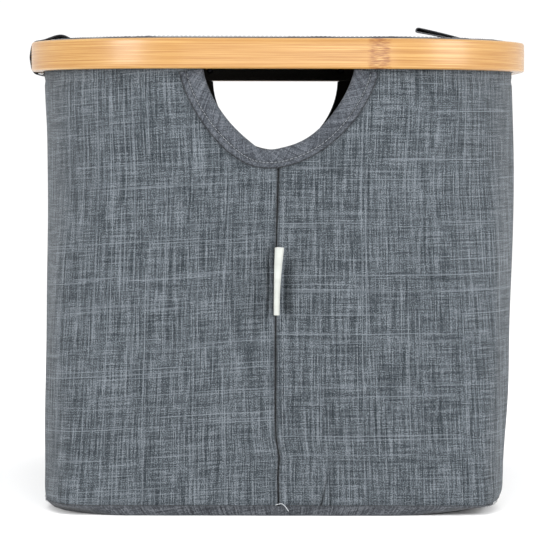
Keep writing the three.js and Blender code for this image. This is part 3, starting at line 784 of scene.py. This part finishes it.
def bamboo_hoop():
    """A bent strip: a rounded section carried round, its face a little uneven, with a scarf joint."""
    turns = 0.25 + np.arange(560) / 560
    inset, z = rounded_section(0, HOOP_THICKNESS, HOOP_BOTTOM, HEIGHT - 1.2 * MM, HOOP_EDGE, 5, 6)
    points = carried(turns[:, None], inset[None], z[None])
    uneven = sway(points, 21, 160 * MM) * 0.18 * MM
    middle_z = (HOOP_BOTTOM + HEIGHT) / 2
    crown = 0.12 * MM * (1 - ((z - middle_z) / (12.5 * MM)) ** 2)
    face = inset < HOOP_THICKNESS / 2
    inset = inset[None] - uneven - np.where(face, crown, 0)[None]
    # The scarf: one end of the strip laps over the other with a thin step across the outer face.
    away = (turns - 0.25) * ROUND
    lap = 0.35 * MM * np.clip(1 - away / (3 * MM), 0, 1)
    inset = inset + np.where(face, 1, 0)[None] * lap[:, None]
    return ring("bamboo_hoop", turns, inset, z[None], BAMBOO, 30)


hoop = bamboo_hoop()
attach(hoop, "basket")
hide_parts("rim_hoop")

# ---- The bag -----------------------------------------------------------------------------------


def bag_half(name, sign):
    """Half the bag: rows from the hoop or the hand hole down to the base, columns from seam to seam."""
    half = ROUND / 2 - 0.2 * MM
    ways = steps_between(
        [
            (0.2 * MM, 0.55 * MM),
            (6 * MM, 1.7 * MM),
            (23 * MM, 0.6 * MM),
            (42 * MM, 1.7 * MM),
            (HOLE_HALF - 0.05 * MM, 0.35 * MM),
            (HOLE_HALF + 0.3 * MM, 2.6 * MM),
            (half - HOLE_HALF - 0.1 * MM, 0.35 * MM),
            (half - HOLE_HALF + 0.25 * MM, 1.7 * MM),
            (half - 6 * MM, 0.55 * MM),
            (half, 1),
        ]
    )
    down = steps_between([(0, 0.0095), (0.9, 0.0065), (1, 1)])
    s = sign * ways[None, :]
    low = BASE_STRIP + AIR
    z = hole_top(s, HEM_TOP) * (1 - down[:, None]) + low * down[:, None]
    outer = wall(s, z)
    inner = wall(s, z, -FABRIC)
    # Upright threads draw in towards the middle seam below the hoop, and the left half's level ones rise.
    near = np.minimum(np.abs(s), ROUND / 2 - np.abs(s))
    drawn = np.minimum(near, 170 * MM) * (1 - smooth_step(near, 190 * MM, ROUND / 4))
    draw = 0.055 * smooth_step(HOOP_BOTTOM - z, 0, 100 * MM) * drawn
    u = s + np.sign(s) * np.where(np.abs(s) < ROUND / 4, draw, -draw)
    v = z - (0.066 * np.clip(s, -0.2, 0) if sign < 0 else 0.008 * s)
    uv = spread(u, v + 0.37 * (sign < 0))  # the left half is cut from another place on the cloth
    return slab(name, outer, inner, LINEN, uv)


for side_name, sign in (("left", -1), ("right", 1)):
    half = bag_half(f"bag_{side_name}", sign)
    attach(half, "basket")
    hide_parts(f"shell_{side_name}")

# ---- Bands round the hand holes ----------------------------------------------------------------

# The band's section in millimetres: away from the hole's edge, and out from the bag's face.
BAND = np.array(
    [
        [0.2, -2.3],
        [-0.5, -2.2],
        [-0.95, -1.2],
        [-0.9, 0.2],
        [-0.2, 1.3],
        [1.2, 1.95],
        [3.2, 2.15],
        [5.6, 2.05],
        [7.6, 1.7],
        [8.8, 1.1],
        [9.4, 0.5],
        [10.0, 1.1],
        [11.2, 2.1],
        [12.6, 2.35],
        [13.7, 1.9],
        [14.0, 1.1],
        [13.4, 0.5],
        [12.6, 0.12],
        [9.0, 0.12],
        [4.0, 0.12],
        [0.6, 0.1],
        [0.25, -0.3],
    ]
) * MM
BAND_GROOVE = 9.4 * MM  # where the topstitches pull the band's section in


def hole_line(share, away, out, back):
    """Points beside a hand hole: share runs -1 to 1 from one end to the other, away from its edge."""
    side, z = hole_edge(share, away, back)
    return wall(side + (ROUND / 2 if back else 0), z, out, seam=False)


def band_width(share):
    """The band is a quarter wider where it runs in under the hoop."""
    return 1 + 0.27 * np.abs(share) ** 1.3


def hole_band(name, back):
    """A folded bias band: its section, pillowed up to the topstitch, carried along the hole's edge."""
    share = np.linspace(-1, 1, 181)
    out = BAND[:, 1]
    away = BAND[None, :, 0] * band_width(share)[:, None]
    pulled = 1 + 0.12 * np.sin(share * 61) * np.sin(share * 23 + 1)
    points = hole_line(share[:, None], away, out[None] * pulled[:, None], back)
    points[..., 2] = np.minimum(points[..., 2], HOOP_BOTTOM - AIR)
    uv = spread(run_along(points[:, 6])[:, None], run_along(BAND))
    rows, columns = points.shape[:2]
    faces = [grid_faces(rows, columns, False, True)]
    first = np.arange(columns)[None]
    faces += [first, (rows - 1) * columns + first[:, ::-1]]
    return make_piece(name, points, faces, BIAS_LINEN, uv, sharp=50)


def stitch_row(starts, ends, outs, lift, steps=5):
    """Arched stitches: straight from start to end, lifted by a sine along the way out."""
    t = np.linspace(0, 1, steps)[None, :, None]
    return starts[:, None] + (ends - starts)[:, None] * t + outs[:, None] * lift * np.sin(np.pi * t)


def band_stitches(name, back):
    """Topstitches in the band's groove: even dashes along a line beside the hole."""
    edges = np.linspace(-0.985, 0.985, 73)[:-1]
    starts, ends = edges + 0.003, edges + 0.0235
    middle = 0.5 * (starts + ends)
    a, b = (hole_line(at, BAND_GROOVE * band_width(at), 0.62 * MM, back) for at in (starts, ends))
    away = BAND_GROOVE * band_width(middle)
    out = unit(hole_line(middle, away, 3 * MM, back) - hole_line(middle, away, 0, back))
    return threads(name, stitch_row(a, b, out, 0.35 * MM), 0.24 * MM, BAND_THREAD)


for side_name, back in SHORT_SIDES:
    band = hole_band(f"hole_band_{side_name}", back)
    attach(band, "basket")
    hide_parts(f"hole_facing_{side_name}")
    sewn = band_stitches(f"hole_stitches_{side_name}", back)
    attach(sewn, "basket")

# ---- Seams of the bag ----------------------------------------------------------------------------


def seam_stitches(name, back):
    """A line of small stitches beside the middle seam, from the band down to the base."""
    step, gap = 3.4 * MM, 0.9 * MM
    z = np.arange(14 * MM, HOOP_BOTTOM - HOLE_DROP - 16 * MM, step)
    s = 5.0 * MM + (ROUND / 2 if back else 0)
    a, b = (wall(np.full_like(z, s), height, 0.06 * MM) for height in (z, z + step - gap))
    out = np.broadcast_to([0, 1.0 if back else -1.0, 0], a.shape)
    return threads(name, stitch_row(a, b, out, 0.16 * MM), 0.15 * MM, GREY_THREAD)


def overlock(name):
    """Slanting edge stitches over the seam between bag and base, all the way round."""
    count = 440
    turns = (np.arange(count) + 0.5) / count
    draw = np.random.default_rng(3)
    s = turns * ROUND + draw.uniform(-0.4, 0.4, count) * MM
    low, high = BASE_STRIP - 2.0 * MM, BASE_STRIP + 3.0 * MM
    slant = 2.1 * MM
    t = np.linspace(0, 1, 6)
    height = low + (high - low) * t[None]
    ways = s[:, None] + slant * (t[None] - 0.5)
    paths = wall(ways, np.maximum(height, BASE_STRIP + 0.4 * MM), 0.25 * MM)
    paths[..., 2] = height
    low_z = np.full_like(ways, 9 * MM)
    out = unit(wall(ways, low_z, 1 * MM) - wall(ways, low_z, 0))
    paths += out * (0.35 * MM * np.sin(np.pi * t))[None, :, None]
    return threads(name, paths, 0.13 * MM, SEAM_THREAD)


for side_name, back in SHORT_SIDES:
    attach(seam_stitches(f"seam_stitches_{side_name}", back), "basket")
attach(overlock("base_stitches"), "basket")


def thread_end():
    """A loose white end of thread at the bottom seam: a curve up and over through five points.

    Each point is a way along the seam, a way out from the bag's smooth face and a height."""
    face = wall(5 * MM, 10 * MM, seam=False)[1] / MM
    knots = [[-2, -0.6, 8.5], [1, -1.0, 9.6], [3.6, -1.4, 9.8], [6.4, -1.8, 7], [8.6, -1.9, 3.6]]
    knots = np.array(knots) + [0, face, 0]
    t = np.linspace(0, 1, 18)
    path = np.stack([np.interp(t, np.linspace(0, 1, 5), knots[:, k]) for k in range(3)], -1)
    return threads("thread_end", softened(path, 3)[None] * MM, 0.28 * MM, PALE_THREAD)


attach(thread_end(), "basket")

# ---- Base and lining -----------------------------------------------------------------------------


def rings_to_middle(turns, levels, seed, ripple):
    """Rings of points from a list of (inset, height, share of the way out), with a soft ripple."""
    rows = []
    for inset, z, share in levels:
        x, y, _, _ = plan(turns, inset, z)
        points = spread(x * share, y * share, z)
        points[:, 2] += sway(points, seed, 90 * MM) * ripple * (share < 0.97)
        rows.append(points)
    return np.array(rows)


def tray_ring(turns, further, z, share, thick=0.0):
    """One ring of the tray, further mm in: share goes from the bag's lower edge, 0, to the floor, 1.

    The floor's outline is rounder. The plan's corners grow with the height given to it, so a height
    stands for how round they are."""
    x, _, _, _ = plan(turns, BASE_INSET, 0)
    rounder = np.where(x > 0, 0.29, 0.17) * share
    _, _, out_x, _ = plan(turns, BASE_INSET, rounder)
    sideways = smooth_step(np.abs(out_x), 0.32, 0.98) * (1 - share) + out_x**2 * share
    # The insets in mm at the bag's edge, where the cloth rolls under on the right, and at the floor.
    rolled = (1.6 + 4.4 * sideways) * smooth_step(np.abs(out_x), 0.1, 0.6)
    at_edge = np.where(x > 0, 14.2 * sideways + rolled, 9.0 * sideways)
    at_floor = np.where(x > 0, 23.6, 9.6) * sideways
    inset = (7.6 + at_edge * (1 - share) + at_floor * share + further) * MM + thick
    x, y, _, _ = plan(turns, inset, rounder)
    return spread(x, y, z)


def base_tray():
    """The tray under the bag: a low wall that turns in to a flat floor, both of the same cloth."""
    turns = np.arange(480) / 480
    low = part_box("base_panel")[0].z
    levels = [  # mm further in, height, share of the turn from the bag's outline to the floor's
        (0.7, BASE_STRIP, 0),
        (0.2, BASE_STRIP - 0.5 * MM, 0),
        (0, BASE_STRIP - 1.4 * MM, 0.1),
        (0, (BASE_STRIP + low) / 2, 0.5),
        (0, low + 1.4 * MM, 0.88),
        (0.2, low + 0.4 * MM, 1),
        (0.7, low, 1),
        (6, low, 1),
        (14, low, 1),
        (26, low, 1),
    ]
    outer = np.array([tray_ring(turns, *level) for level in levels])
    inner = np.array([tray_ring(turns, *level, FABRIC if k < 7 else 0) for k, level in enumerate(levels)])
    inner[5:, :, 2] += FABRIC
    # Smaller rings at the same height close the floor towards its middle.
    shares = np.array([0.7, 0.35, 0.1])[:, None, None]
    outer, inner = (
        np.concatenate([grid, grid[-1:] * [1, 1, 0] * shares + grid[-1:] * [0, 0, 1]])
        for grid in (outer, inner)
    )
    _, _, out_x, out_y = plan(turns, BASE_INSET, 0)
    for grid in (outer, inner):
        wobble = sway(grid, 33, 30 * MM) * 0.35 * MM * (np.arange(len(grid)) < 8)[:, None]
        grid[..., 0] += out_x * wobble
        grid[..., 1] += out_y * wobble
    uv = spread(turns * ROUND, np.arange(len(outer))[:, None] * 2 * MM)
    uv[6:] = outer[6:, :, :2]  # the floor's cloth lies flat
    return bowl("base_tray", outer, inner, BASE_LINEN, uv)


def lining_bag():
    """The black liner: it hangs just inside the bag, follows the hand holes, and covers the base."""
    half = ROUND / 2
    side = steps_between(
        [
            (0, 2.2 * MM),
            (HOLE_HALF - 0.05 * MM, 0.4 * MM),
            (HOLE_HALF + 0.3 * MM, 6 * MM),
            (half - HOLE_HALF - 0.3 * MM, 0.4 * MM),
            (half - HOLE_HALF + 0.05 * MM, 2.2 * MM),
            (half, 1),
        ]
    )
    s = np.concatenate([side[:-1], side[:-1] + half])
    floor_z, top = (corner.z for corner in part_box("lining"))
    down = np.linspace(0, 1, 42)
    z = hole_top(s, top)[None] * (1 - down[:, None]) + (floor_z + 12 * MM) * down[:, None]
    gap = FABRIC + AIR + 0.5 * MM
    free = np.clip(down * 6, 0, 1)[:, None] * np.clip((1 - down) * 8, 0, 1)[:, None]
    puckers = sway(wall(s[None], z), 41, 55 * MM, stretch=(1, 1, 2.5)) * 0.9 * MM
    hang = np.abs(puckers) * free
    outer_wall, inner_wall = wall(s[None], z, -gap - hang), wall(s[None], z, -gap - LINING - hang)
    turn = s / ROUND
    base_inset = 24 * MM
    floors = []
    for thickness in (0, LINING):
        levels = [
            (base_inset - 1.2 * MM + thickness, floor_z + 7 * MM, 1),
            (base_inset + 0.2 * MM + thickness, floor_z + 3 * MM, 1),
            (base_inset + 2.5 * MM + thickness * 0.7, floor_z + 0.8 * MM + thickness * 0.7, 1),
        ]
        flat = floor_z + 0.2 * MM + thickness
        levels += [(base_inset + further * MM, flat, 1) for further in (6, 20)]
        levels += [(base_inset + 28 * MM, flat, share) for share in (0.98, 0.75, 0.5, 0.25, 0.08)]
        floors.append(rings_to_middle(turn, levels, 43, 0.2 * MM))
    outer = np.concatenate([outer_wall, floors[0]])
    inner = np.concatenate([inner_wall, floors[1]])
    uv = np.concatenate([spread(s, z), floors[0][..., :2]])
    return bowl("lining_bag", outer, inner, LINING_CLOTH, uv)


tray = base_tray()
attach(tray, "basket")
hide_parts("base_panel")


def base_card():
    """The stiff board in the tray: a flat slab with the floor outline, a little further in."""
    low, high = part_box("base_board")
    turns = np.arange(240) / 240
    levels = [(3.4, low.z), (3.0, low.z + 0.4 * MM), (3.0, high.z - 0.4 * MM), (3.4, high.z)]
    points = np.array([tray_ring(turns, further, z, 1) for further, z in levels])
    rows, columns = points.shape[:2]
    faces = [grid_faces(rows, columns, False, True)]
    first = np.arange(columns)[None]
    faces += [first[:, ::-1], (rows - 1) * columns + first]
    return make_piece("base_card", points, faces, GREYBOARD, sharp=50)


card = base_card()
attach(card, "basket")
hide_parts("base_board")
liner = lining_bag()
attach(liner, "basket")
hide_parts("lining")

# ---- Hem sleeve --------------------------------------------------------------------------------


def hem_sleeve():
    """The black hem over its strip frame: a flattened tube with puckers on its inner face."""
    low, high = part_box("hem_sleeve")
    outer_inset = HALF_WIDTH - high.x
    inner_inset = 17.5 * MM
    turns = np.arange(460)[:, None] / 460
    edge = 1.1 * MM
    (inset, z), (inner_skin, inner_z) = (
        rounded_section(
            outer_inset + thick, inner_inset - thick, low.z + thick, high.z - thick, edge - thick, 4, 5
        )
        for thick in (0, LINING)
    )
    pucker = sway(carried(turns, inset[None], z[None]), 51, 14 * MM, stretch=(1, 1, 3)) * 0.35 * MM
    face = inset > inner_inset - 1.5 * MM
    outer = carried(turns, inset[None] + np.abs(pucker) * face[None], z[None])
    inner = carried(turns, inner_skin[None], inner_z[None])
    rows, columns = outer.shape[:2]
    count = rows * columns
    skin = grid_faces(rows, columns, True, True)
    faces = [skin, skin[:, ::-1] + count]
    girth = np.linspace(0, 50 * MM, columns)
    uv = spread(turns * ROUND, girth).reshape(-1, 2)
    points = np.concatenate([outer.reshape(-1, 3), inner.reshape(-1, 3)])
    return make_piece("hem_cloth", points, faces, LINING_CLOTH, np.concatenate([uv, uv]), ROUND)


hem_cloth = hem_sleeve()
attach(hem_cloth, "basket")
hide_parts("hem_sleeve")

# ---- Rod sleeves ---------------------------------------------------------------------------------

for corner_name in ("front_left", "front_right", "back_right", "back_left"):
    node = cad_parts[f"rod_sleeve_{corner_name}"]
    low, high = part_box(node.name)
    co = np.array([v.co for v in node.data.vertices])
    foot, top = co[co[:, 2] < low.z + 12 * MM].mean(0), co[co[:, 2] > high.z - 12 * MM].mean(0)
    foot, top = foot + (top - foot) * -0.006, top + (top - foot) * 0.006
    t = np.linspace(0, 1, 90)
    axis = foot + (top - foot) * t[:, None]
    angle = 2 * np.pi * np.arange(24) / 24
    tube = {}
    for key, radius in (("outer", 3.75 * MM), ("inner", 2.5 * MM)):
        gather = 0.05 * np.sin(t * 140 + 2 * np.sin(t * 31))[:, None] * np.cos(angle * 2)[None]
        wave = 1 + gather * (key == "outer")
        x = axis[:, None, 0] + radius * wave * np.cos(angle)[None]
        y = axis[:, None, 1] + radius * wave * np.sin(angle)[None]
        tube[key] = spread(x, y, axis[:, 2:])
    uv = spread(angle * 3.7 * MM, axis[:, 2:3])
    sleeve = slab(f"rod_cloth_{corner_name}", tube["outer"], tube["inner"], LINING_CLOTH, uv, True, 24 * MM)
    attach(sleeve, "basket")
    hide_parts(node.name)

# ---- Lid ---------------------------------------------------------------------------------------

LID_EDGE = 13.5 * MM
LID_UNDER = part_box("lid_under_cover")
LID_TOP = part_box("lid_top_cover")


def lid_cover(name, box, material, crown, ripple, seed):
    """A cover pulled over the lid's board: flat rings from the edge to the middle, a low soft crown."""
    low, high = box
    turns = np.arange(300) / 300
    edge = HALF_WIDTH - high.x + 0.1 * MM
    shares = [(edge, 1), (edge + 3 * MM, 1), (edge + 10 * MM, 1), (edge + 30 * MM, 1)]
    shares += [(edge + 60 * MM, k) for k in (1, 0.9, 0.8, 0.7, 0.6, 0.5, 0.4, 0.3, 0.2, 0.1, 0.03)]
    grids = []
    for level in (high.z - low.z, 0):
        rows = []
        for inset, share in shares:
            x, y, _, _ = plan(turns, inset, HEIGHT)
            x, y = x * share, y * share
            points = spread(x, y, 0.0)
            reach = np.maximum(np.abs(x) / (HALF_WIDTH - edge), np.abs(y) / (HALF_LENGTH - edge))
            dome = np.clip(1 - reach**2, 0, 1)
            wave = sway(points, seed, 120 * MM) * ripple * np.clip(dome * 6, 0, 1)
            points[:, 2] = low.z + level + dome * crown + wave
            rows.append(points)
        grids.append(np.array(rows))
    return bowl(name, grids[0], grids[1], material, grids[0][..., :2] + 1.0)


top_cover = lid_cover("lid_cloth_top", LID_TOP, LINEN, 1.1 * MM, 0.35 * MM, 61)
under_cover = lid_cover("lid_cloth_under", LID_UNDER, LINING_CLOTH, 0.0, 0.0, 63)
for piece, node, finish_slot in (
    (top_cover, "lid_top_cover", "grey_linen"),
    (under_cover, "lid_under_cover", "black_lining"),
):
    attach(piece, "lid")
    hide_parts(node)


def lid_binding():
    """Bias tape folded over the lid's edge: a U section carried round, a little wavy along its top."""
    low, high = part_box("lid_binding")
    width, thick = 10 * MM, 0.5 * MM
    turns = np.arange(520) / 520
    bottom, top = low.z, high.z - 0.6 * MM
    outline = np.array(
        [
            [width, bottom],
            [1.2 * MM, bottom],
            [0.35 * MM, bottom + 0.3 * MM],
            [0, bottom + 1.2 * MM],
            [0, (bottom + top) / 2],
            [0, top - 1.2 * MM],
            [0.35 * MM, top - 0.35 * MM],
            [1.3 * MM, top - 0.02 * MM],
            [4.5 * MM, top + 0.1 * MM],
            [8 * MM, top + 0.08 * MM],
            [width, top],
        ]
    )
    towards = unit(np.gradient(outline, axis=0))
    inner = outline + np.stack([-towards[:, 1], towards[:, 0]], -1) * -thick
    section = np.concatenate([outline, inner[::-1]])
    wavy = carried(turns[:, None], LID_EDGE + section[None, :, 0], section[None, :, 1])
    upper = np.clip((section[:, 1] - (bottom + top) / 2) / (2 * MM), 0, 1)
    wave = sway(wavy, 71, 26 * MM) * 0.3 * MM
    s = ((turns + 0.5) % 1 - 0.5) * ROUND
    # Where the tape peaks over the hoop in front: way from the middle, height and width.
    places = [(-124, 0.5, 3.5), (-113, 0.6, 2.5), (-106, 0.55, 2.2)]
    places += [(30, 0.3, 16), (92, 0.65, 14), (91, 0.4, 3)]
    peaks = sum(height * bump(s, place * MM, wide * MM) for place, height, wide in places)
    z = section[None, :, 1] + (wave + (peaks * MM - 0.35 * MM * bump(s, 0, 0.17))[:, None]) * upper[None]
    return ring("lid_edge_tape", turns, LID_EDGE + section[None, :, 0], z, BINDING_WEB, 50)


tape = lid_binding()
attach(tape, "lid")
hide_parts("lid_binding")


def tape_stitches():
    """A row of dark stitches along the tape's inner edge, on the lid's top."""
    count = 400
    turns = np.arange(count) / count
    inset = LID_EDGE + 8.6 * MM
    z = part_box("lid_binding")[1].z - 0.15 * MM
    a, b = (carried(at, inset, z) for at in (turns, turns + 0.0018))
    up = np.broadcast_to([0, 0, 1.0], a.shape)
    return threads("tape_stitches", stitch_row(a, b, up, 0.12 * MM), 0.15 * MM, DARK_THREAD)


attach(tape_stitches(), "lid")

# ---- Hinge straps --------------------------------------------------------------------------------


def curve_through(points, count):
    """An evenly spaced line through corner points, its corners softened by repeated averaging."""
    points = np.asarray(points, float)
    step = run_along(points)
    at = np.linspace(0, step[-1], count)
    line = np.stack([np.interp(at, step, points[:, k]) for k in range(points.shape[1])], -1)
    return softened(line, 6)


def flat_band(name, line, far_line, across, width):
    """A strap: a line of (x, z) points swept along Y, its thin section rounded at both edges.

    The far line is the shape that it has reached at its far edge."""
    towards = unit(np.gradient(line, axis=0))
    normal = np.stack([-towards[:, 1], towards[:, 0]], -1)
    share = np.sin(np.linspace(-1, 1, 14) * np.pi / 2)
    half = 0.5 * STRAP_THICK * np.sqrt(np.clip(1 - np.abs(share) ** 18, 0.02, 1))
    y = across + share * width / 2
    change = (far_line - line)[:, None] * smooth_step(share, -0.9, 0.9)[None, :, None]
    skins = []
    for sign in (1, -1):
        face = line[:, None] + change + normal[:, None] * (sign * half)[None, :, None]
        skins.append(spread(face[..., 0], y, face[..., 1]))
    return slab(name, *skins, STRAP_WEB, spread(run_along(line)[:, None], y), sharp=50)


STRAP_WIDTH = 40 * MM
TAB_WIDTH = 30 * MM
STRAP_THICK = 1.0 * MM
STRAP_PLACES = {
    side: sum(corner.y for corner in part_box(f"hinge_strap_{side}")) / 2 for side in ("front", "back")
}
ON_LID = LID_TOP[1].z + 0.9 * MM  # the middle of a strap that lies on the lid


def strap_line(hump):
    """The strap's middle line as (distance in from the hoop's outer face, height).

    It arches over the hoop's top by the height of its hump."""
    inside, under = 9.5, HOOP_BOTTOM / MM - 1.1
    outside, over = -0.8, HEIGHT / MM + 0.8
    corners = [
        (inside, HEM_TOP / MM - 2),
        (inside, under + 1.4),
        (inside - 1.4, under - 1.4),
        (outside + 2.0, under - 0.2),
        (outside - 0.8, under + 3.4),
        (outside - 1.5, under + 8),
        (outside - 2.4, (under + over) / 2),
        (outside - 1.6, over - 8),
        (outside - 0.8, over - 3.4),
        (outside + 2.0, over),
        (6, over + 0.1 * hump),
        (10, over + 0.3 * hump),
        (14, over + 0.58 * hump),
        (18.5, over + 0.88 * hump),
        (22.7, over + hump),
        (26.5, over + 0.83 * hump),
        (30.5, over + 0.42 * hump),
        (34, ON_LID / MM + 0.25),
        (38, ON_LID / MM),
        (52, ON_LID / MM),
    ]
    line = curve_through(corners, 150) * MM
    return np.stack([line[:, 0] - HALF_WIDTH, line[:, 1]], -1)


def strap_stitches(name, across):
    """A box of stitches with a cross inside, through the strap's end on the lid."""
    pitch, stitch = 2.6 * MM, 0.72  # from stitch to stitch, and a stitch's share of that
    x0, x1 = -HALF_WIDTH + 37.5 * MM, -HALF_WIDTH + 50 * MM
    y0, y1 = across - 16.5 * MM, across + 16.5 * MM
    z = ON_LID + 0.5 * MM
    box = [np.array(corner) for corner in ((x0, y0, z), (x1, y0, z), (x1, y1, z), (x0, y1, z))]
    route = [box[k] for k in (0, 1, 2, 3, 0, 2, 1, 3)]
    starts, ends = [], []
    for a, b in zip(route[:-1], route[1:]):
        count = max(2, round(np.linalg.norm(b - a) / pitch))
        t = np.arange(count)[:, None] / count
        starts.append(a + (b - a) * t)
        ends.append(a + (b - a) * (t + stitch / count))
    starts, ends = np.concatenate(starts), np.concatenate(ends)
    up = np.broadcast_to([0, 0, 1.0], starts.shape)
    return threads(name, stitch_row(starts, ends, up, 0.22 * MM), 0.2 * MM, DARK_THREAD)


for side_name, across in STRAP_PLACES.items():
    near, far = (strap_line(hump) for hump in (5.4, 0.6))
    if side_name == "back":
        near, far = far, near
    strap = flat_band(f"strap_{side_name}", near, far, across, STRAP_WIDTH)
    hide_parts(f"hinge_strap_{side_name}")
    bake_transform(strap)
    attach(strap_stitches(f"strap_stitches_{side_name}", across), "lid")

# ---- Pull tab ------------------------------------------------------------------------------------


def tab_line(part):
    """The tab from its root round the fold and back, as (x, z): part is how far its layers stand apart."""
    root = np.array([176 * MM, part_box("pull_tab")[0].z + 1.4 * MM])
    rise = math.radians(-12.4)
    run, layer = 56.1 * MM, 1.1 * MM
    tip_half, root_half = layer * 0.52 + 1.9 * MM * part, layer * 0.52 + 0.6 * MM * part
    t = np.linspace(0, 1, 40)
    swell = root_half + (tip_half - root_half) * (t**1.1)
    bend = 0.7 * MM * np.sin(np.pi * t) * t
    upper = np.stack([-run * t, swell - layer / 2 + bend], -1)
    angle = np.linspace(np.pi / 2, 3 * np.pi / 2, 16)[1:-1]
    radius = tip_half - layer / 2
    fold = np.stack([-run + radius * np.cos(angle), radius * np.sin(angle)], -1)
    lower = np.stack([-run * t[::-1], (bend - swell + layer / 2)[::-1]], -1)
    line = softened(np.concatenate([upper, fold, lower]), 4)
    c, s = math.cos(rise), math.sin(rise)
    return np.stack([line[:, 0] * c - line[:, 1] * s, line[:, 0] * s + line[:, 1] * c], -1) + root


def pull_tab():
    """A loop of webbing: two layers that part towards the rounded fold, pressed together at the far edge."""
    return flat_band("pull_loop", tab_line(1.0), tab_line(0.3), 0.0, TAB_WIDTH)


loop = pull_tab()
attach(loop, "pull_tab")
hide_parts("pull_tab")

# ---- Label -------------------------------------------------------------------------------------


def side_label():
    """A folded ribbon that stands out from the seam: two layers that part towards the fold.

    Rows run up the ribbon and columns out from the seam. The loop is widest at the top."""
    low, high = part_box("side_label")
    lift = 2.3 * MM
    z = np.linspace(low.z + lift + 2.4 * MM, high.z + lift + 0.4 * MM, 44)
    out = np.sin(np.linspace(0, 1, 34) * np.pi / 2)
    reach = 17 * MM
    height = ((z - z[0]) / (z[-1] - z[0]))[:, None]
    left = (-4.0 + 1.1 * height) * MM
    right = np.interp(height, [0, 0.36, 0.6, 1], np.array([0.5, 1.1, 2.25, 4.3]) * MM)
    x = (left + right) / 2 * out[None] ** 1.4
    y = wall(np.full_like(z, 2 * MM), z)[:, 1][:, None] + FABRIC * 0.4 - reach * out[None]
    x = x + sway(spread(x, y, z[:, None]), 81, 35 * MM) * 0.3 * MM * out[None]
    grid = spread(x, y, z[:, None])
    # The two layers part from the seam out to a round fold.
    swell = np.clip(out / 0.8, 0, 1) ** 1.2
    nose = np.sqrt(np.clip(1 - (np.clip((out - 0.82) / 0.18, 0, 1)) ** 2, 0, 1))
    part = 0.35 * MM + ((right - left) / 2 - 0.35 * MM) * (swell * nose)[None]
    shift = spread(part, 0.0, 0.0)
    uv = spread(out[None] * reach, z[:, None])
    return slab("label_ribbon", grid + shift, grid - shift, WHITE_RIBBON, uv, sharp=60)


label = side_label()
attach(label, "basket")
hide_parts("side_label")

# ---- Finishes for the CAD's own pieces -------------------------------------------------------------

# The first start of a name that fits gives the finish; the sleeves keep their own.
OWN_FINISHES = [
    ("hem_screw", SCREW_STEEL),
    ("hem_frame", CAP_PLASTIC),
    ("rod_foot", CAP_PLASTIC),
    ("rod_tip", CAP_PLASTIC),
    ("rod_sleeve", None),
    ("rod_", ROD_STEEL),
    ("lid_board", GREYBOARD),
]
for node_name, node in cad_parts.items():
    finish = next((finish for start, finish in OWN_FINISHES if node_name.startswith(start)), None)
    if finish:
        node.data.materials.clear()
        node.data.materials.append(finish)

# ---- Floor, light and camera -----------------------------------------------------------------------


def floor_sheet():
    """A wide pale floor."""
    reach = 6.0
    points = np.array([[-reach, -reach, 0], [reach, -reach, 0], [reach, reach, 0], [-reach, reach, 0]], float)
    finish = Finish("floor", Base_Color=(0.95, 0.95, 0.95, 1), Roughness=0.9, Specular_IOR_Level=0.1)
    faces = [np.array([[0, 1, 2, 3]])]
    return make_piece("floor", points, faces, finish.material)


floor_sheet()


AIM = Vector((0, 0, 0.2))


def softbox(name, place, size, power):
    """A rectangle of soft light that faces the middle of the hamper."""
    light = bpy.data.lights.new(name, "AREA")
    light.shape = "RECTANGLE"
    light.size, light.size_y = size
    light.energy = power
    lamp = bpy.data.objects.new(name, light)
    bpy.context.scene.collection.objects.link(lamp)
    lamp.location = place
    lamp.rotation_euler = (AIM - Vector(place)).to_track_quat("-Z", "Y").to_euler()


softbox("left_box", (-1.9, -2.1, 1.02), (1.0, 1.3), 57)
softbox("right_box", (2.3, -1.5, 1.12), (1.3, 1.6), 62)
softbox("top_box", (0, -0.4, 2.6), (2.4, 2.4), 20)
softbox("front_box", (0.4, -2.9, 0.36), (0.9, 0.5), 12)

world = bpy.data.worlds.new("studio")
world.use_nodes = True
background = world.node_tree.nodes["Background"]
background.inputs["Color"].default_value = (1, 1, 1, 1)
background.inputs["Strength"].default_value = 1.06
bpy.context.scene.world = world
bpy.context.scene.view_settings.view_transform = "Standard"

# The camera looks along +Y and a little down: its place before the hoop, and its turns in degrees.
CAMERA_BEFORE = 2.100
CAMERA_SIDE = -0.0153
CAMERA_HEIGHT = 0.2963
FOCAL_WIDTHS = 2701 / 550  # focal length in picture widths
PITCH, YAW, ROLL = 2.906, 0.344, -0.125
camera_data = bpy.data.cameras.new("camera")
camera_data.sensor_width = 36
camera_data.lens = FOCAL_WIDTHS * camera_data.sensor_width
camera = bpy.data.objects.new("camera", camera_data)
bpy.context.scene.collection.objects.link(camera)
camera.location = (CAMERA_SIDE, -HALF_LENGTH - CAMERA_BEFORE, CAMERA_HEIGHT)
turn = (
    Matrix.Rotation(math.radians(-YAW), 4, "Z")
    @ Matrix.Rotation(math.radians(90 - PITCH), 4, "X")
    @ Matrix.Rotation(math.radians(-ROLL), 4, "Z")
)
camera.rotation_euler = turn.to_euler()
bpy.context.scene.camera = camera
